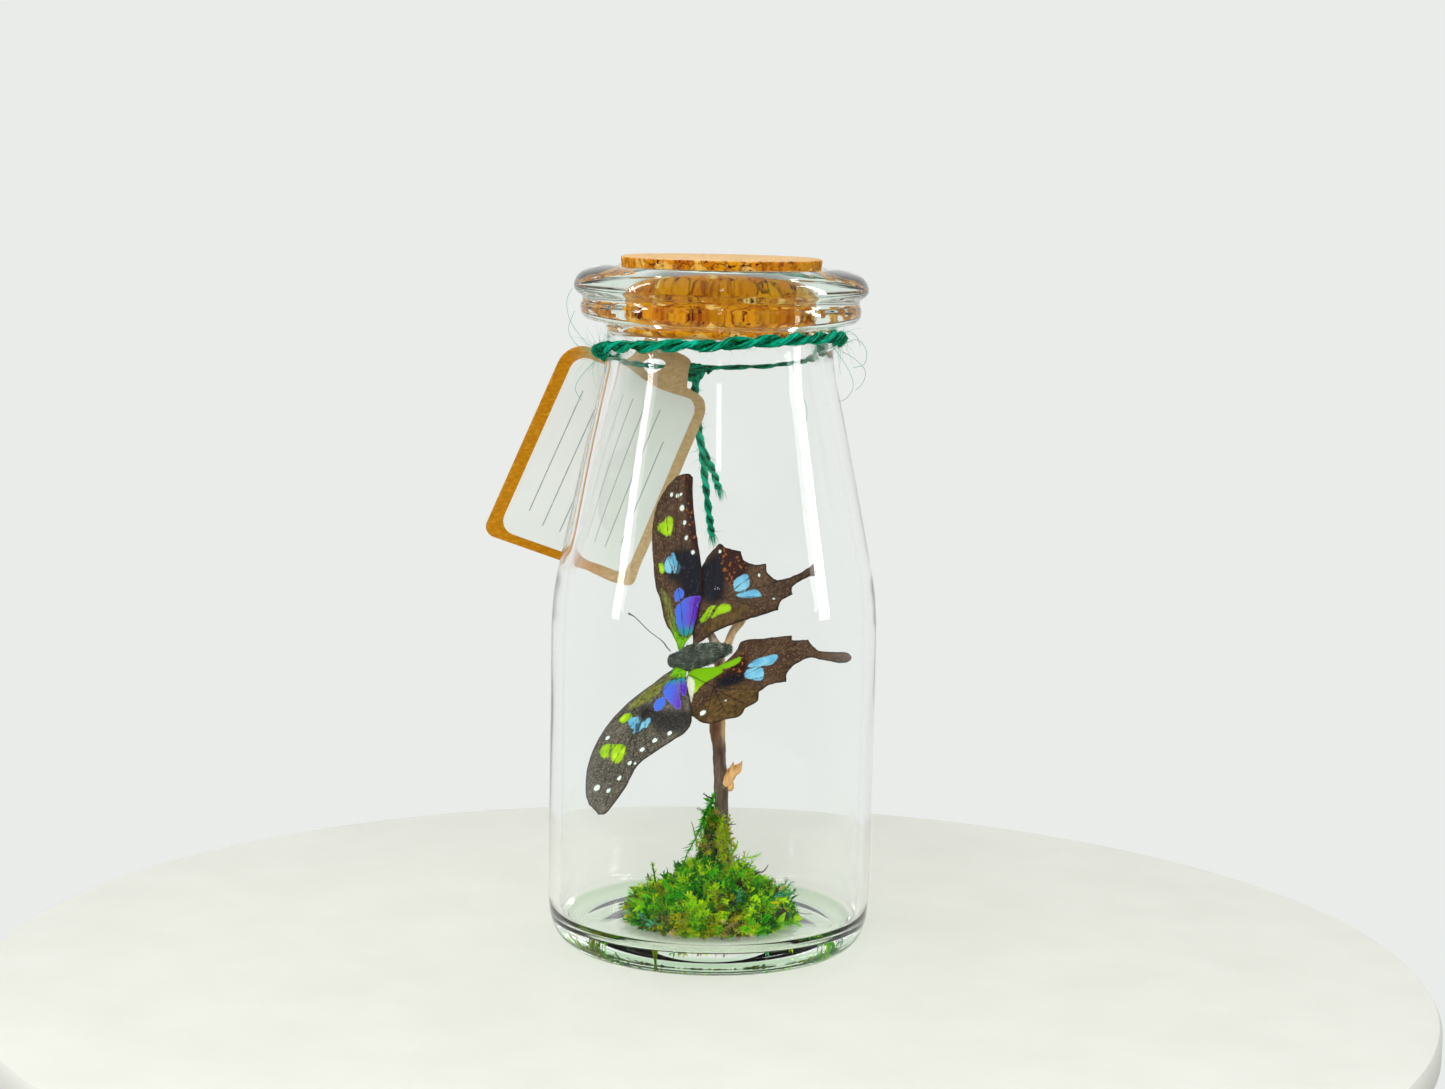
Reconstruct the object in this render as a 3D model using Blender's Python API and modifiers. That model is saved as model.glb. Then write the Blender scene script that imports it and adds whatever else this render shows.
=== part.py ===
"""A swallowtail butterfly mounted on a mossy twig inside a corked glass bottle.

Jute twine round the neck carries a card tag with a paper label. Every size below is in
millimetres and becomes metres where a mesh is made. The origin is the centre of the
bottle's flat base, +Z is up, and the butterfly is looked at along +Y.
"""
import math

import bmesh
import bpy
from mathutils import Matrix, Vector, noise

MM = 0.001
GAP = 0.3  # between neighbouring pieces

# Bottle: (radius, height) down the outside, and up the inside. The wall is 2.4 thick.
BOTTLE_STEPS = 40
BODY_RADIUS = 31.9
FLOOR = 5.0  # height of the glass floor inside
LIP = [
    (19.9, 132.6), (20.6, 133.5), (22.6, 133.5), (25.4, 132.9), (27.4, 132.0), (28.4, 130.5), (28.6, 128.8),
]
BEAD = [(26.9, 128.0), (26.9, 126.6), (27.3, 125.6), (26.9, 123.8), (24.8, 122.9), (22.2, 122.5)]
SHOULDER = [
    (21.9, 121.0), (22.2, 114.8), (23.7, 107.5), (26.1, 97.0), (28.5, 85.3), (30.2, 76.8), (31.3, 71.3),
]
BODY_TOP = 62.0
BODY = [(BODY_RADIUS, BODY_TOP), (BODY_RADIUS, 16.0), (31.5, 5.6)]
HEEL_RADIUS = 5.5
HEEL_STEPS = 5
WALL = 2.4
INNER_CORNER = [(24.0, 0.0), (27.2, 1.0), (28.9, 3.2), (BODY_RADIUS - WALL, 7.0)]  # height above the floor
BORE = [(19.6, 116.0), (18.7, 122.0), (18.7, 125.5), (19.3, 130.5)]  # where the cork sits

# Cork: (radius, height) from its top to its bottom
CORK = [(19.2, 135.5), (19.7, 135.1), (19.2, 132.8), (17.9, 121.5), (17.4, 121.0)]

# Twine round the neck. Its angle is measured from the front, turning to the right.
TWINE_RADIUS = 1.2
LOOP_STEPS = 60
LOOP_HEIGHT = 117.5
LOOP_LIFT_RIGHT = 1.7
LOOP_LIFT_FRONT = 3.4
LOOP_SAG = 0.95
BULGE = 2.6  # how far the loop stands out where it runs behind the tag
BULGE_START, BULGE_FULL = 136.0, 158.0
HOLE_ANGLE = 216.0
HOLE_REACH = 5.0  # how far each side of the hole the loop goes back to the neck
STRAND_TURNS = 22  # half turns of the two plies
STRAND_SIDES = 8
STRAND_THINNESS = 0.72  # of the oval section that the two plies make together
KNOT_ANGLE = 191.0
KNOT_SHIFT = Vector((0, 1.0, -0.4))
KNOT_LOBES = [  # (place from the knot's middle, half sizes, tilt)
    ((0, 0, 0), (2.5, 1.8, 1.9), 25),
    ((-2.1, 0.1, 0.8), (1.8, 1.4, 1.4), -40),
    ((1.4, 0.9, -1.5), (1.7, 1.5, 1.6), 60),
]
TAIL_RADIUS = 0.9
LONG_TAIL = [
    (-5.4, 29.0, 109.4), (-4.9, 29.2, 105.0), (-4.2, 29.9, 99.0), (-3.2, 30.4, 93.0),
    (-2.4, 31.0, 87.0), (-1.5, 32.2, 81.0), (-0.8, 32.8, 77.0),
]
SHORT_TAIL = [
    (-8.2, 30.4, 114.0), (-9.4, 31.5, 112.4), (-8.7, 32.2, 108.8), (-6.6, 32.5, 104.0),
    (-4.6, 32.6, 98.5), (-2.6, 32.8, 93.5), (-0.7, 32.9, 89.8), (0.3, 32.8, 86.8),
]

# Tag: a card body with a narrower head that has the hole, leaning on the shoulder
TAG_CENTRE = (-24.3, 22.6, 92.5)
TAG_YAW = 17.0
TAG_LEAN = 12.0
TAG_ROLL = 20.6
TAG_WIDTH = 33.0
TAG_LENGTH = 43.4
TAG_CORNER = 5.2  # at the shoulders
TAG_FOOT_CORNER = 2.3
TAG_HEAD_WIDTH = 19.6  # at its foot, and it narrows upwards
TAG_HEAD_TAPER = 1.6  # at each side
TAG_HEAD_LENGTH = 8.8
TAG_HEAD_CORNER = 4.0
TAG_THICKNESS = 0.6
TAG_HOLE = 3.1  # radius
TAG_HOLE_RISE = 2.1  # above the body's top edge
TAG_HOLE_STEPS = 16
LABEL_MARGIN = 2.6
LABEL_TOP_MARGIN = 2.1
LABEL_FOOT_MARGIN = 1.9
LABEL_CORNER = 3.2
LABEL_THICKNESS = 0.2
LABEL_GAP = 0.21  # between the card and the label

# Twig
TWIG = [
    (2.6, 2.4, FLOOR + GAP), (2.4, 3.6, 14.8), (2.3, 5.2, 24.1), (2.1, 5.9, 29.0),
    (1.8, 6.4, 33.5), (1.5, 7.1, 37.9), (1.1, 7.7, 42.0), (1.1, 8.3, 47.0),
    (1.5, 8.7, 52.0), (1.1, 9.0, 55.9), (0.1, 9.2, 58.2), (-1.1, 9.4, 60.6),
]
TWIG_RADII = [1.3, 1.3, 1.3, 1.5, 1.35, 1.4, 1.6, 1.5, 1.4, 1.0, 0.75, 0.5]
STUB = [(2.3, 6.2, 30.6), (4.0, 6.4, 32.3), (5.0, 6.5, 33.4), (6.0, 6.6, 34.5)]
STUB_RADII = [1.6, 1.4, 0.9, 0.45]
BRANCH = [(2.8, 9.4, 57.7), (3.8, 9.6, 60.4), (5.4, 9.9, 62.3), (6.5, 10.1, 63.9), (7.6, 10.4, 65.6)]
BRANCH_RADII = [0.85, 0.85, 0.8, 0.7, 0.5]

# Moss: a mound with a peak against the twig, and a lump of bark at its right foot
MOSS_CENTRE = (0.6, -0.8)
MOSS_RADIUS = 16.8
MOSS_HEIGHT = 9.5
MOSS_PEAKS = [  # (x, y, rise, width)
    (1.2, 3.6, 8.0, 4.2),
    (0.3, 4.4, 6.5, 1.9),
    (-3.6, 1.8, 4.5, 2.4),
    (6.0, 1.0, 2.0, 3.0),
    (-12.4, -1.0, 6.0, 1.4),
    (12.8, -0.6, 3.8, 2.0),
]
MOSS_RINGS = 11
MOSS_SPOKES = 36
MOSS_FULLNESS = 0.6  # below 1, the mound's side stands steeper
MOSS_LUMP = 1.3
MOSS_RIM = 0.6  # height of the mound's edge
MOSS_TUCK = 0.96  # its foot is this much narrower than its edge
TWIG_SINK = 2.0  # how far the twig's room in the moss runs below its foot
BARK_PLACE = (13.8, -4.6, FLOOR + GAP + 1.4)
BARK_SIZE = (2.0, 1.6, 1.25)
BARK_LUMP = 0.16

# Butterfly: its frame is (right, forward, up), and its centre is in the thorax
INSECT_CENTRE = Vector((-5.5, 7.4, 55.2))
FORWARD = Vector((-0.895, 0.427, -0.132)).normalized()
UP = Vector((-0.419, -0.699, 0.579))
# Along the body: (forward, radius, shift to the right, shift up)
TRUNK = [
    (4.0, 0.5, 0, -0.1), (3.6, 1.05, 0, -0.1), (2.8, 1.3, 0, 0), (2.1, 1.2, 0, 0), (1.6, 1.8, 0, 0),
    (0.4, 2.25, 0, 0), (-1.2, 2.3, 0, 0), (-2.7, 1.9, 0.1, 0), (-3.8, 1.45, 0.2, 0), (-5.5, 1.5, 0.5, 0.1),
    (-7.4, 1.4, 0.9, 0.2), (-9.0, 1.0, 1.3, 0.3), (-10.1, 0.4, 1.6, 0.3),
]
ANTENNA = [(1.5, 3.2, 1.3), (2.6, 5.0, 3.3), (3.8, 6.9, 4.9), (5.8, 9.4, 7.0), (6.4, 10.9, 7.8)]
ANTENNA_RADII = [0.2, 0.2, 0.2, 0.3, 0.35]
LEG_ROOTS = (1.5, 0.4, -0.7)  # how far forward each pair stands
LEG_REACH = (0.9, 0.0, -0.5)  # how far forward of its root each knee is
LEG_HIP = (1.0, -2.75)  # (out, up)
LEG_BENDS = [(2.3, 0.0, -3.3), (1.7, -0.9, -4.1), (1.0, -1.7, -4.5)]  # (out, forward of the knee, up)
LEG_RADIUS = 0.22

# Wings: outlines in each pair's own plane, (out from the body, forward), as smooth runs
# that meet at corners. Both pairs of one side share a plane, and the forewing is on top.
WING_THICKNESS = 0.3
WING_STEP = 0.35  # from the shared plane to the middle of each wing
WING_ROOT = (2.9, 0.2, 0.5)
CAMBER = 1.0
CAMBER_SPAN = 37.0
GRID = 5.0  # spacing of the cuts that let a wing bend
GRID_CUTS = range(-8, 8)
RIGHT_DIHEDRAL, RIGHT_PITCH = 20.5, 12.0
LEFT_DIHEDRAL, LEFT_PITCH = 10.0, 5.0
FOREWING_RIGHT = [
    [(0.2, 1.4), (4.2, 4.9), (9.2, 6.5), (14.9, 7.9), (20.8, 8.8), (25.8, 8.9), (29.6, 7.9), (32.8, 5.6)],
    [(32.8, 5.6), (34.5, 3.0), (34.8, 0.4), (34.0, -1.1)],
    [(34.0, -1.1), (28.1, -1.7), (22.0, -3.0), (15.2, -4.5)],
    [(15.2, -4.5), (8.5, -4.2), (0.8, -1.2)],
]
FOREWING_LEFT = [
    [(0.2, 1.2), (2.8, 5.5), (8.4, 10.6), (14.7, 13.4), (22.1, 14.1), (30.1, 11.8), (34.2, 7.9)],
    [(34.2, 7.9), (33.7, 6.1), (28.5, 3.5), (23.2, 2.0), (18.7, -3.6), (16.6, -6.4)],
    [(16.6, -6.4), (14.0, -7.1), (8.6, -5.1), (3.4, -2.4), (0.8, -1.2)],
]
HINDWING_RIGHT = [
    [(0.6, -1.4), (6.0, -1.2), (12.0, -2.6), (17.0, -5.2), (19.7, -8.6)],
    [(19.7, -8.6), (18.5, -10.7), (17.6, -13.9)],
    [(17.6, -13.9), (15.9, -14.6), (14.8, -17.1), (14.6, -20.1)],
    [(14.6, -20.1), (12.9, -20.5), (11.5, -22.5), (11.5, -25.1), (12.2, -28.2), (13.2, -30.7)],
    [(13.2, -30.7), (13.8, -32.0), (12.8, -32.8), (11.6, -32.2)],
    [(11.6, -32.2), (11.2, -29.5), (10.6, -27.6), (9.6, -26.3), (8.1, -26.5)],
    [(8.1, -26.5), (7.2, -24.4), (6.4, -23.4), (5.1, -22.8)],
    [(5.1, -22.8), (4.4, -19.3), (3.9, -15.4), (3.1, -11.4), (2.2, -7.0), (1.2, -3.4)],
]
HINDWING_LEFT = [
    [(0.6, -1.4), (5.5, -1.6), (10.1, -4.0), (12.1, -6.4), (13.9, -9.2), (14.4, -11.9), (13.7, -13.9)],
    [(13.7, -13.9), (13.1, -17.2), (11.1, -17.9)],
    [(11.1, -17.9), (9.7, -20.1), (7.2, -19.8)],
    [(7.2, -19.8), (5.7, -21.6), (5.2, -25.1)],
    [(5.2, -25.1), (3.0, -24.6), (1.7, -25.6), (0.8, -28.3), (1.3, -31.4), (2.1, -35.4)],
    [(2.1, -35.4), (2.1, -36.7), (1.4, -37.2), (0.6, -36.2)],
    [(0.6, -36.2), (-0.2, -31.1), (-1.4, -29.0), (-3.1, -27.3)],
    [(-3.1, -27.3), (-3.3, -24.1), (-4.6, -23.4)],
    [(-4.6, -23.4), (-4.6, -18.0), (-4.5, -12.7), (-2.6, -11.3), (0.4, -8.6), (0.6, -3.4)],
]

COLOURS = {  # red, green, blue, roughness
    "glass": (0.86, 0.93, 0.90, 0.02),
    "cork": (0.62, 0.33, 0.12, 0.85),
    "twine": (0.02, 0.30, 0.20, 0.9),
    "card": (0.50, 0.27, 0.07, 0.8),
    "paper": (0.88, 0.88, 0.86, 0.7),
    "bark": (0.13, 0.08, 0.06, 0.9),
    "moss": (0.12, 0.32, 0.03, 0.95),
    "wing": (0.05, 0.03, 0.02, 0.7),
    "fur": (0.06, 0.07, 0.06, 0.9),
}


def clear_scene():
    for old in list(bpy.data.objects):
        bpy.data.objects.remove(old, do_unlink=True)


def new_collection(name):
    made = bpy.data.collections.new(name)
    bpy.context.scene.collection.children.link(made)
    return made


def make_materials():
    made = {}
    for name, (red, green, blue, rough) in COLOURS.items():
        made[name] = bpy.data.materials.new(name)
        made[name].use_nodes = True
        shader = made[name].node_tree.nodes["Principled BSDF"]
        shader.inputs["Base Color"].default_value = (red, green, blue, 1)
        shader.inputs["Roughness"].default_value = rough
        shader.inputs["Metallic"].default_value = 0
        shader.inputs["Transmission Weight"].default_value = 1 if name == "glass" else 0
    return made


def add_object(name, data, finish, home):
    made = bpy.data.objects.new(name, data)
    made.data.materials.append(finish)
    home.objects.link(made)
    return made


def add_bmesh(name, shape, finish, home):
    """Turns a bmesh in millimetres into an object in metres."""
    shape.normal_update()
    bmesh.ops.recalc_face_normals(shape, faces=shape.faces)
    data = bpy.data.meshes.new(name)
    shape.to_mesh(data)
    shape.free()
    data.transform(Matrix.Scale(MM, 4))
    data.shade_smooth()
    data.set_sharp_from_angle(angle=math.radians(40))
    return add_object(name, data, finish, home)


def smooth(run, per_span):
    """Points on a Catmull-Rom curve through a run of points."""
    line = [Vector(p) for p in run]
    line = [2 * line[0] - line[1]] + line + [2 * line[-1] - line[-2]]
    found = []
    for a, b, c, d in zip(line, line[1:], line[2:], line[3:]):
        for k in range(per_span):
            t = k / per_span
            found.append(
                0.5 * (2 * b + (c - a) * t + (2 * a - 5 * b + 4 * c - d) * t**2 + (3 * b - a - 3 * c + d) * t**3)
            )
    return found + [line[-2]]


def turned(name, profile, finish, home):
    """A profile of (radius, height), turned about Z by a Screw modifier."""
    data = bpy.data.meshes.new(name)
    corners = [(radius * MM, 0, height * MM) for radius, height in profile]
    data.from_pydata(corners, [(k, k + 1) for k in range(len(corners) - 1)], [])
    made = add_object(name, data, finish, home)
    screw = made.modifiers.new("turn", "SCREW")
    screw.steps = screw.render_steps = BOTTLE_STEPS
    screw.use_merge_vertices = True
    screw.merge_threshold = 0.00001
    screw.use_smooth_shade = True
    return made


def tube(name, path, radii, finish, home, resolution=2, closed=False):
    """A round tube along a path, as a welded mesh."""
    curve = bpy.data.curves.new(name, "CURVE")
    curve.dimensions = "3D"
    curve.bevel_depth = MM
    curve.bevel_resolution = resolution
    curve.use_fill_caps = not closed
    spline = curve.splines.new("POLY")
    spline.points.add(len(path) - 1)
    spline.use_cyclic_u = closed
    for point, place, radius in zip(spline.points, path, radii):
        point.co = (*(Vector(place) * MM), 1)
        point.radius = radius
    return to_mesh(add_object(name, curve, finish, home), home)


def to_mesh(curve_object, home):
    """Replaces a curve object by its mesh, with the caps welded on."""
    name, finish = curve_object.name, curve_object.data.materials[0]
    depsgraph = bpy.context.evaluated_depsgraph_get()
    data = bpy.data.meshes.new_from_object(curve_object.evaluated_get(depsgraph))
    place = curve_object.matrix_world.copy()
    bpy.data.objects.remove(curve_object, do_unlink=True)
    shape = bmesh.new()
    shape.from_mesh(data)
    bmesh.ops.remove_doubles(shape, verts=shape.verts, dist=0.000001)
    bmesh.ops.recalc_face_normals(shape, faces=shape.faces)
    shape.to_mesh(data)
    shape.free()
    data.materials.clear()
    made = add_object(name, data, finish, home)
    made.matrix_world = place
    return made


def tapered_path(points, radii, per_span):
    """A smooth path and the radii that go with its points."""
    path = smooth(points, per_span)
    widths = [v.x for v in smooth([(radius, 0, 0) for radius in radii], per_span)]
    return path, widths


def as_cutter(made):
    made.hide_render = True
    made.display_type = "WIRE"
    return made


def boolean(made, other, operation):
    step = made.modifiers.new(operation.lower(), "BOOLEAN")
    step.operation = operation
    step.solver = "EXACT"
    step.object = as_cutter(other)


def heel():
    """The round between the bottle's side and its flat base."""
    centre = (BODY[-1][0] - HEEL_RADIUS, HEEL_RADIUS)
    angles = [math.radians(90 * k / HEEL_STEPS) for k in range(1, HEEL_STEPS + 1)]
    return [(centre[0] + HEEL_RADIUS * math.cos(a), centre[1] - HEEL_RADIUS * math.sin(a)) for a in angles]


def inside_wall():
    """The inside of the bottle, from the middle of its floor up to the neck."""
    corner = [(radius, FLOOR + rise) for radius, rise in INNER_CORNER]
    side = [(radius - WALL, height) for radius, height in reversed(SHOULDER[1:])]
    return [(0, FLOOR), *corner, (BODY_RADIUS - WALL, BODY_TOP), *side]


def make_bottle(finish, home):
    outside = LIP[1:] + BEAD + SHOULDER + BODY + heel() + [(0, 0)]
    return turned("bottle", inside_wall() + BORE + LIP[:1] + outside, finish, home)


def make_cork(finish, home):
    return turned("cork", [(0, CORK[0][1]), *CORK, (0, CORK[-1][1])], finish, home)


def neck_radius(height):
    """The bottle's outer radius at a height on its shoulder or neck."""
    for (r_top, top), (r_low, low) in zip(SHOULDER, SHOULDER[1:]):
        if low <= height <= top:
            return r_low + (r_top - r_low) * (height - low) / (top - low)
    return SHOULDER[0][0]


def ramp(value, start, end):
    t = min(1.0, max(0.0, (value - start) / (end - start)))
    return t * t * (3 - 2 * t)


def loop_point(degrees):
    """A point of the twine's middle line round the neck."""
    a = math.radians(degrees)
    height = LOOP_HEIGHT + LOOP_LIFT_RIGHT * math.sin(a) + LOOP_LIFT_FRONT * math.cos(a)
    height -= LOOP_SAG * math.cos(2 * a)
    leaves = ramp(degrees, BULGE_START, BULGE_FULL)
    comes_back = ramp(degrees, HOLE_ANGLE - HOLE_REACH, HOLE_ANGLE + HOLE_REACH)
    out = BULGE * leaves * (1 - comes_back)
    radius = neck_radius(height - TWINE_RADIUS) + GAP + TWINE_RADIUS + out
    return Vector((radius * math.sin(a), -radius * math.cos(a), height))


def make_twine(finish, home, cutters):
    """Two plies twisted together: an oval section that turns along the loop."""
    shape = bmesh.new()
    sides = STRAND_SIDES
    rings = []
    for k in range(LOOP_STEPS):
        degrees = 360 * k / LOOP_STEPS
        place = loop_point(degrees)
        along = (loop_point(degrees + 1) - loop_point(degrees - 1)).normalized()
        side = along.cross(Vector((0, 0, 1))).normalized()
        rise = side.cross(along)
        turn = math.pi * STRAND_TURNS * k / LOOP_STEPS
        ring = []
        for j in range(sides):
            b = 2 * math.pi * j / sides
            wide, thin = TWINE_RADIUS * math.cos(b), STRAND_THINNESS * TWINE_RADIUS * math.sin(b)
            x = wide * math.cos(turn) - thin * math.sin(turn)
            y = wide * math.sin(turn) + thin * math.cos(turn)
            ring.append(shape.verts.new(place + side * x + rise * y))
        rings.append(ring)
    half_turned = STRAND_TURNS % 2 * sides // 2
    for k, ring in enumerate(rings):
        last = k == LOOP_STEPS - 1
        after = rings[0][half_turned:] + rings[0][:half_turned] if last else rings[k + 1]
        for j in range(sides):
            i = (j + 1) % sides
            shape.faces.new((ring[j], ring[i], after[i], after[j]))
    loop = add_bmesh("twine_loop", shape, finish, home)
    for k, (shift, size, tilt) in enumerate(KNOT_LOBES):
        boolean(loop, make_knot_lobe(k, shift, size, tilt, finish, cutters), "UNION")
    return loop


def make_knot_lobe(number, shift, size, tilt, finish, cutters):
    place = Matrix.Translation(loop_point(KNOT_ANGLE) + Vector(shift) + KNOT_SHIFT)
    turn = Matrix.Rotation(math.radians(tilt), 4, "Y")
    shape = bmesh.new()
    bmesh.ops.create_icosphere(shape, subdivisions=2, radius=1)
    bmesh.ops.transform(shape, matrix=place @ turn @ Matrix.Diagonal((*size, 1)), verts=shape.verts)
    return add_bmesh(f"knot_lobe_{number}", shape, finish, cutters)


def make_tail(name, route, finish, home):
    path = smooth(route, 3)
    return tube(name, path, [TAIL_RADIUS] * len(path), finish, home)


def rounded_corner(centre, radius, start, steps=4):
    """A quarter turn about a centre, from the start angle, anticlockwise."""
    angles = [math.radians(start + 90 * k / steps) for k in range(steps + 1)]
    return [(centre[0] + radius * math.cos(a), centre[1] + radius * math.sin(a)) for a in angles]


def rounded_box(half, low, high, top_corner, foot_corner):
    """A box's outline from its right shoulder round to its right foot, with rounded corners."""
    return (
        rounded_corner((half - top_corner, high - top_corner), top_corner, 0)
        + rounded_corner((top_corner - half, high - top_corner), top_corner, 90)
        + rounded_corner((foot_corner - half, low + foot_corner), foot_corner, 180)
        + rounded_corner((half - foot_corner, low + foot_corner), foot_corner, 270)
    )


def tag_outline():
    """The card's edge: its body, with the narrower head on top."""
    half, top, foot = TAG_WIDTH / 2, TAG_LENGTH / 2, TAG_HEAD_WIDTH / 2
    crown, narrow = top + TAG_HEAD_LENGTH, TAG_HEAD_WIDTH / 2 - TAG_HEAD_TAPER
    head = rounded_corner((narrow - TAG_HEAD_CORNER, crown - TAG_HEAD_CORNER), TAG_HEAD_CORNER, 0)
    head += rounded_corner((TAG_HEAD_CORNER - narrow, crown - TAG_HEAD_CORNER), TAG_HEAD_CORNER, 90)
    body = rounded_box(half, -top, top, TAG_CORNER, TAG_FOOT_CORNER)
    return body[:5] + [(foot, top)] + head + [(-foot, top)] + body[5:]


def plate(name, outline, thickness, finish, home, hole=None):
    """A flat card: a filled 2D curve with a hole if one is given."""
    curve = bpy.data.curves.new(name, "CURVE")
    curve.dimensions = "2D"
    curve.fill_mode = "BOTH"
    curve.extrude = thickness / 2 * MM
    for edge in [outline] + ([hole] if hole else []):
        spline = curve.splines.new("POLY")
        spline.points.add(len(edge) - 1)
        spline.use_cyclic_u = True
        for point, (x, y) in zip(spline.points, edge):
            point.co = (x * MM, y * MM, 0, 1)
    return to_mesh(add_object(name, curve, finish, home), home)


def tag_frame():
    """Where the tag hangs: its +Y runs up the card and its +Z faces the bottle."""
    upright = Matrix.Rotation(math.radians(90), 4, "X")
    lean = Matrix.Rotation(math.radians(TAG_LEAN), 4, "X")
    yaw = Matrix.Rotation(math.radians(TAG_YAW), 4, "Z")
    roll = Matrix.Rotation(math.radians(-TAG_ROLL), 4, "Z")
    return Matrix.Translation(Vector(TAG_CENTRE) * MM) @ yaw @ lean @ upright @ roll


def make_tag(card, paper, home):
    hole_y = TAG_LENGTH / 2 + TAG_HOLE_RISE
    angles = [math.tau * k / TAG_HOLE_STEPS for k in range(TAG_HOLE_STEPS)]
    hole = [(TAG_HOLE * math.cos(a), hole_y + TAG_HOLE * math.sin(a)) for a in angles]
    tag = plate("tag", tag_outline(), TAG_THICKNESS, card, home, hole)
    tag.matrix_world = tag_frame()
    low, high = LABEL_FOOT_MARGIN - TAG_LENGTH / 2, TAG_LENGTH / 2 - LABEL_TOP_MARGIN
    edge = rounded_box(TAG_WIDTH / 2 - LABEL_MARGIN, low, high, LABEL_CORNER, LABEL_CORNER)
    label = plate("tag_label", edge, LABEL_THICKNESS, paper, home)
    rise = (TAG_THICKNESS / 2 + LABEL_GAP + LABEL_THICKNESS / 2) * MM
    label.matrix_world = tag_frame() @ Matrix.Translation((0, 0, rise))


def make_twig(finish, home, cutters):
    stem = tube("twig_stem", TWIG, TWIG_RADII, finish, home)
    stub = tube("stub_shape", STUB, STUB_RADII, finish, cutters)
    boolean(stem, stub, "UNION")
    tube("twig_branch", BRANCH, BRANCH_RADII, finish, home)


def moss_height(x, y, share):
    """The mound's height above its foot, where share goes from 0 at the middle to 1 at the edge."""
    height = MOSS_HEIGHT * (1 - share**2) ** MOSS_FULLNESS
    for px, py, rise, width in MOSS_PEAKS:
        height += rise * math.exp(-((x - px) ** 2 + (y - py) ** 2) / width**2)
    lumps = noise.noise(Vector((x, y, 3.0)) * 0.45) + 0.6 * noise.noise(Vector((x, y, 9.0)) * 1.1)
    return height + MOSS_LUMP * lumps * (1 - share**4)


def make_moss(finish, home, cutters):
    shape = bmesh.new()
    foot = FLOOR + GAP
    middle = shape.verts.new((*MOSS_CENTRE, foot + moss_height(*MOSS_CENTRE, 0)))
    rings = []
    for k in range(1, MOSS_RINGS + 1):
        share = k / MOSS_RINGS
        ring = []
        for j in range(MOSS_SPOKES):
            a = math.tau * j / MOSS_SPOKES
            edge = MOSS_RADIUS * (1 + 0.06 * noise.noise(Vector((math.cos(a), math.sin(a), 1.5)) * 2.2))
            x = MOSS_CENTRE[0] + share * edge * math.cos(a)
            y = MOSS_CENTRE[1] + share * edge * math.sin(a)
            rise = MOSS_RIM if k == MOSS_RINGS else max(1.0, moss_height(x, y, share))
            ring.append(shape.verts.new((x, y, foot + rise)))
        rings.append(ring)
    skirt = [shape.verts.new((v.co.x * MOSS_TUCK, v.co.y * MOSS_TUCK, foot)) for v in rings[-1]]
    for j in range(MOSS_SPOKES):
        i = (j + 1) % MOSS_SPOKES
        shape.faces.new((middle, rings[0][j], rings[0][i]))
        for near, far in zip(rings, rings[1:] + [skirt]):
            shape.faces.new((near[j], far[j], far[i], near[i]))
    shape.faces.new(skirt)
    moss = add_bmesh("moss", shape, finish, home)
    path = [Vector(TWIG[0]) - Vector((0, 0, TWIG_SINK)), *TWIG[1:]]
    radii = [radius + GAP for radius in TWIG_RADII]
    boolean(moss, tube("twig_room", path, radii, finish, cutters), "DIFFERENCE")
    return moss


def make_bark(finish, home, cutters, moss):
    """A crumb of bark at the moss's foot, and the room that the moss leaves for it."""
    for name, extra, where in (("bark_crumb", 0, home), ("bark_room", GAP, cutters)):
        shape = bmesh.new()
        bmesh.ops.create_icosphere(shape, subdivisions=2, radius=1)
        for v in shape.verts:
            v.co *= 1 + BARK_LUMP * noise.noise(v.co * 1.7)
        size = Matrix.Diagonal((*(s + extra for s in BARK_SIZE), 1))
        bmesh.ops.transform(shape, matrix=Matrix.Translation(BARK_PLACE) @ size, verts=shape.verts)
        made = add_bmesh(name, shape, finish, where)
    boolean(moss, made, "DIFFERENCE")


def insect_frame():
    """The butterfly's axes as columns: right, forward, up."""
    up = (UP - FORWARD * UP.dot(FORWARD)).normalized()
    right = FORWARD.cross(up)
    return Matrix((right, FORWARD, up)).transposed()


def insect_place(point):
    return INSECT_CENTRE + insect_frame() @ Vector(point)


def make_trunk(finish, home):
    path = [insect_place((right, forward, up)) for forward, _, right, up in TRUNK]
    return tube("butterfly_body", path, [radius for _, radius, _, _ in TRUNK], finish, home, resolution=4)


def make_antenna(finish, home):
    path, radii = tapered_path([insect_place(p) for p in ANTENNA], ANTENNA_RADII, 2)
    tube("antenna", path, radii, finish, home, resolution=1)


def make_legs(finish, home):
    """Three pairs of thin legs, folded under the thorax."""
    for pair, forward in enumerate(LEG_ROOTS):
        for side, word in ((1, "right"), (-1, "left")):
            knee = forward + LEG_REACH[pair]
            bent = [(side * LEG_HIP[0], forward, LEG_HIP[1])]
            bent += [(side * out, knee + ahead, up) for out, ahead, up in LEG_BENDS]
            path = [insect_place(p) for p in bent]
            tube(f"leg_{word}_{pair + 1}", path, [LEG_RADIUS] * len(path), finish, home, resolution=1)


def wing_frame(side):
    """(root, outward, forward, up) of one side's wing plane."""
    dihedral, pitch = (RIGHT_DIHEDRAL, RIGHT_PITCH) if side > 0 else (LEFT_DIHEDRAL, LEFT_PITCH)
    d, p = math.radians(dihedral), math.radians(pitch)
    axes = insect_frame()
    out = axes @ Vector((side * math.cos(d), 0, math.sin(d)))
    lift = axes @ Vector((-side * math.sin(d), 0, math.cos(d)))
    ahead = axes @ Vector((0, 1, 0))
    up = lift * math.cos(p) + ahead * math.sin(p)
    right, forward, height = WING_ROOT
    return insect_place((side * right, forward, height)), out, ahead * math.cos(p) - lift * math.sin(p), up


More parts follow.
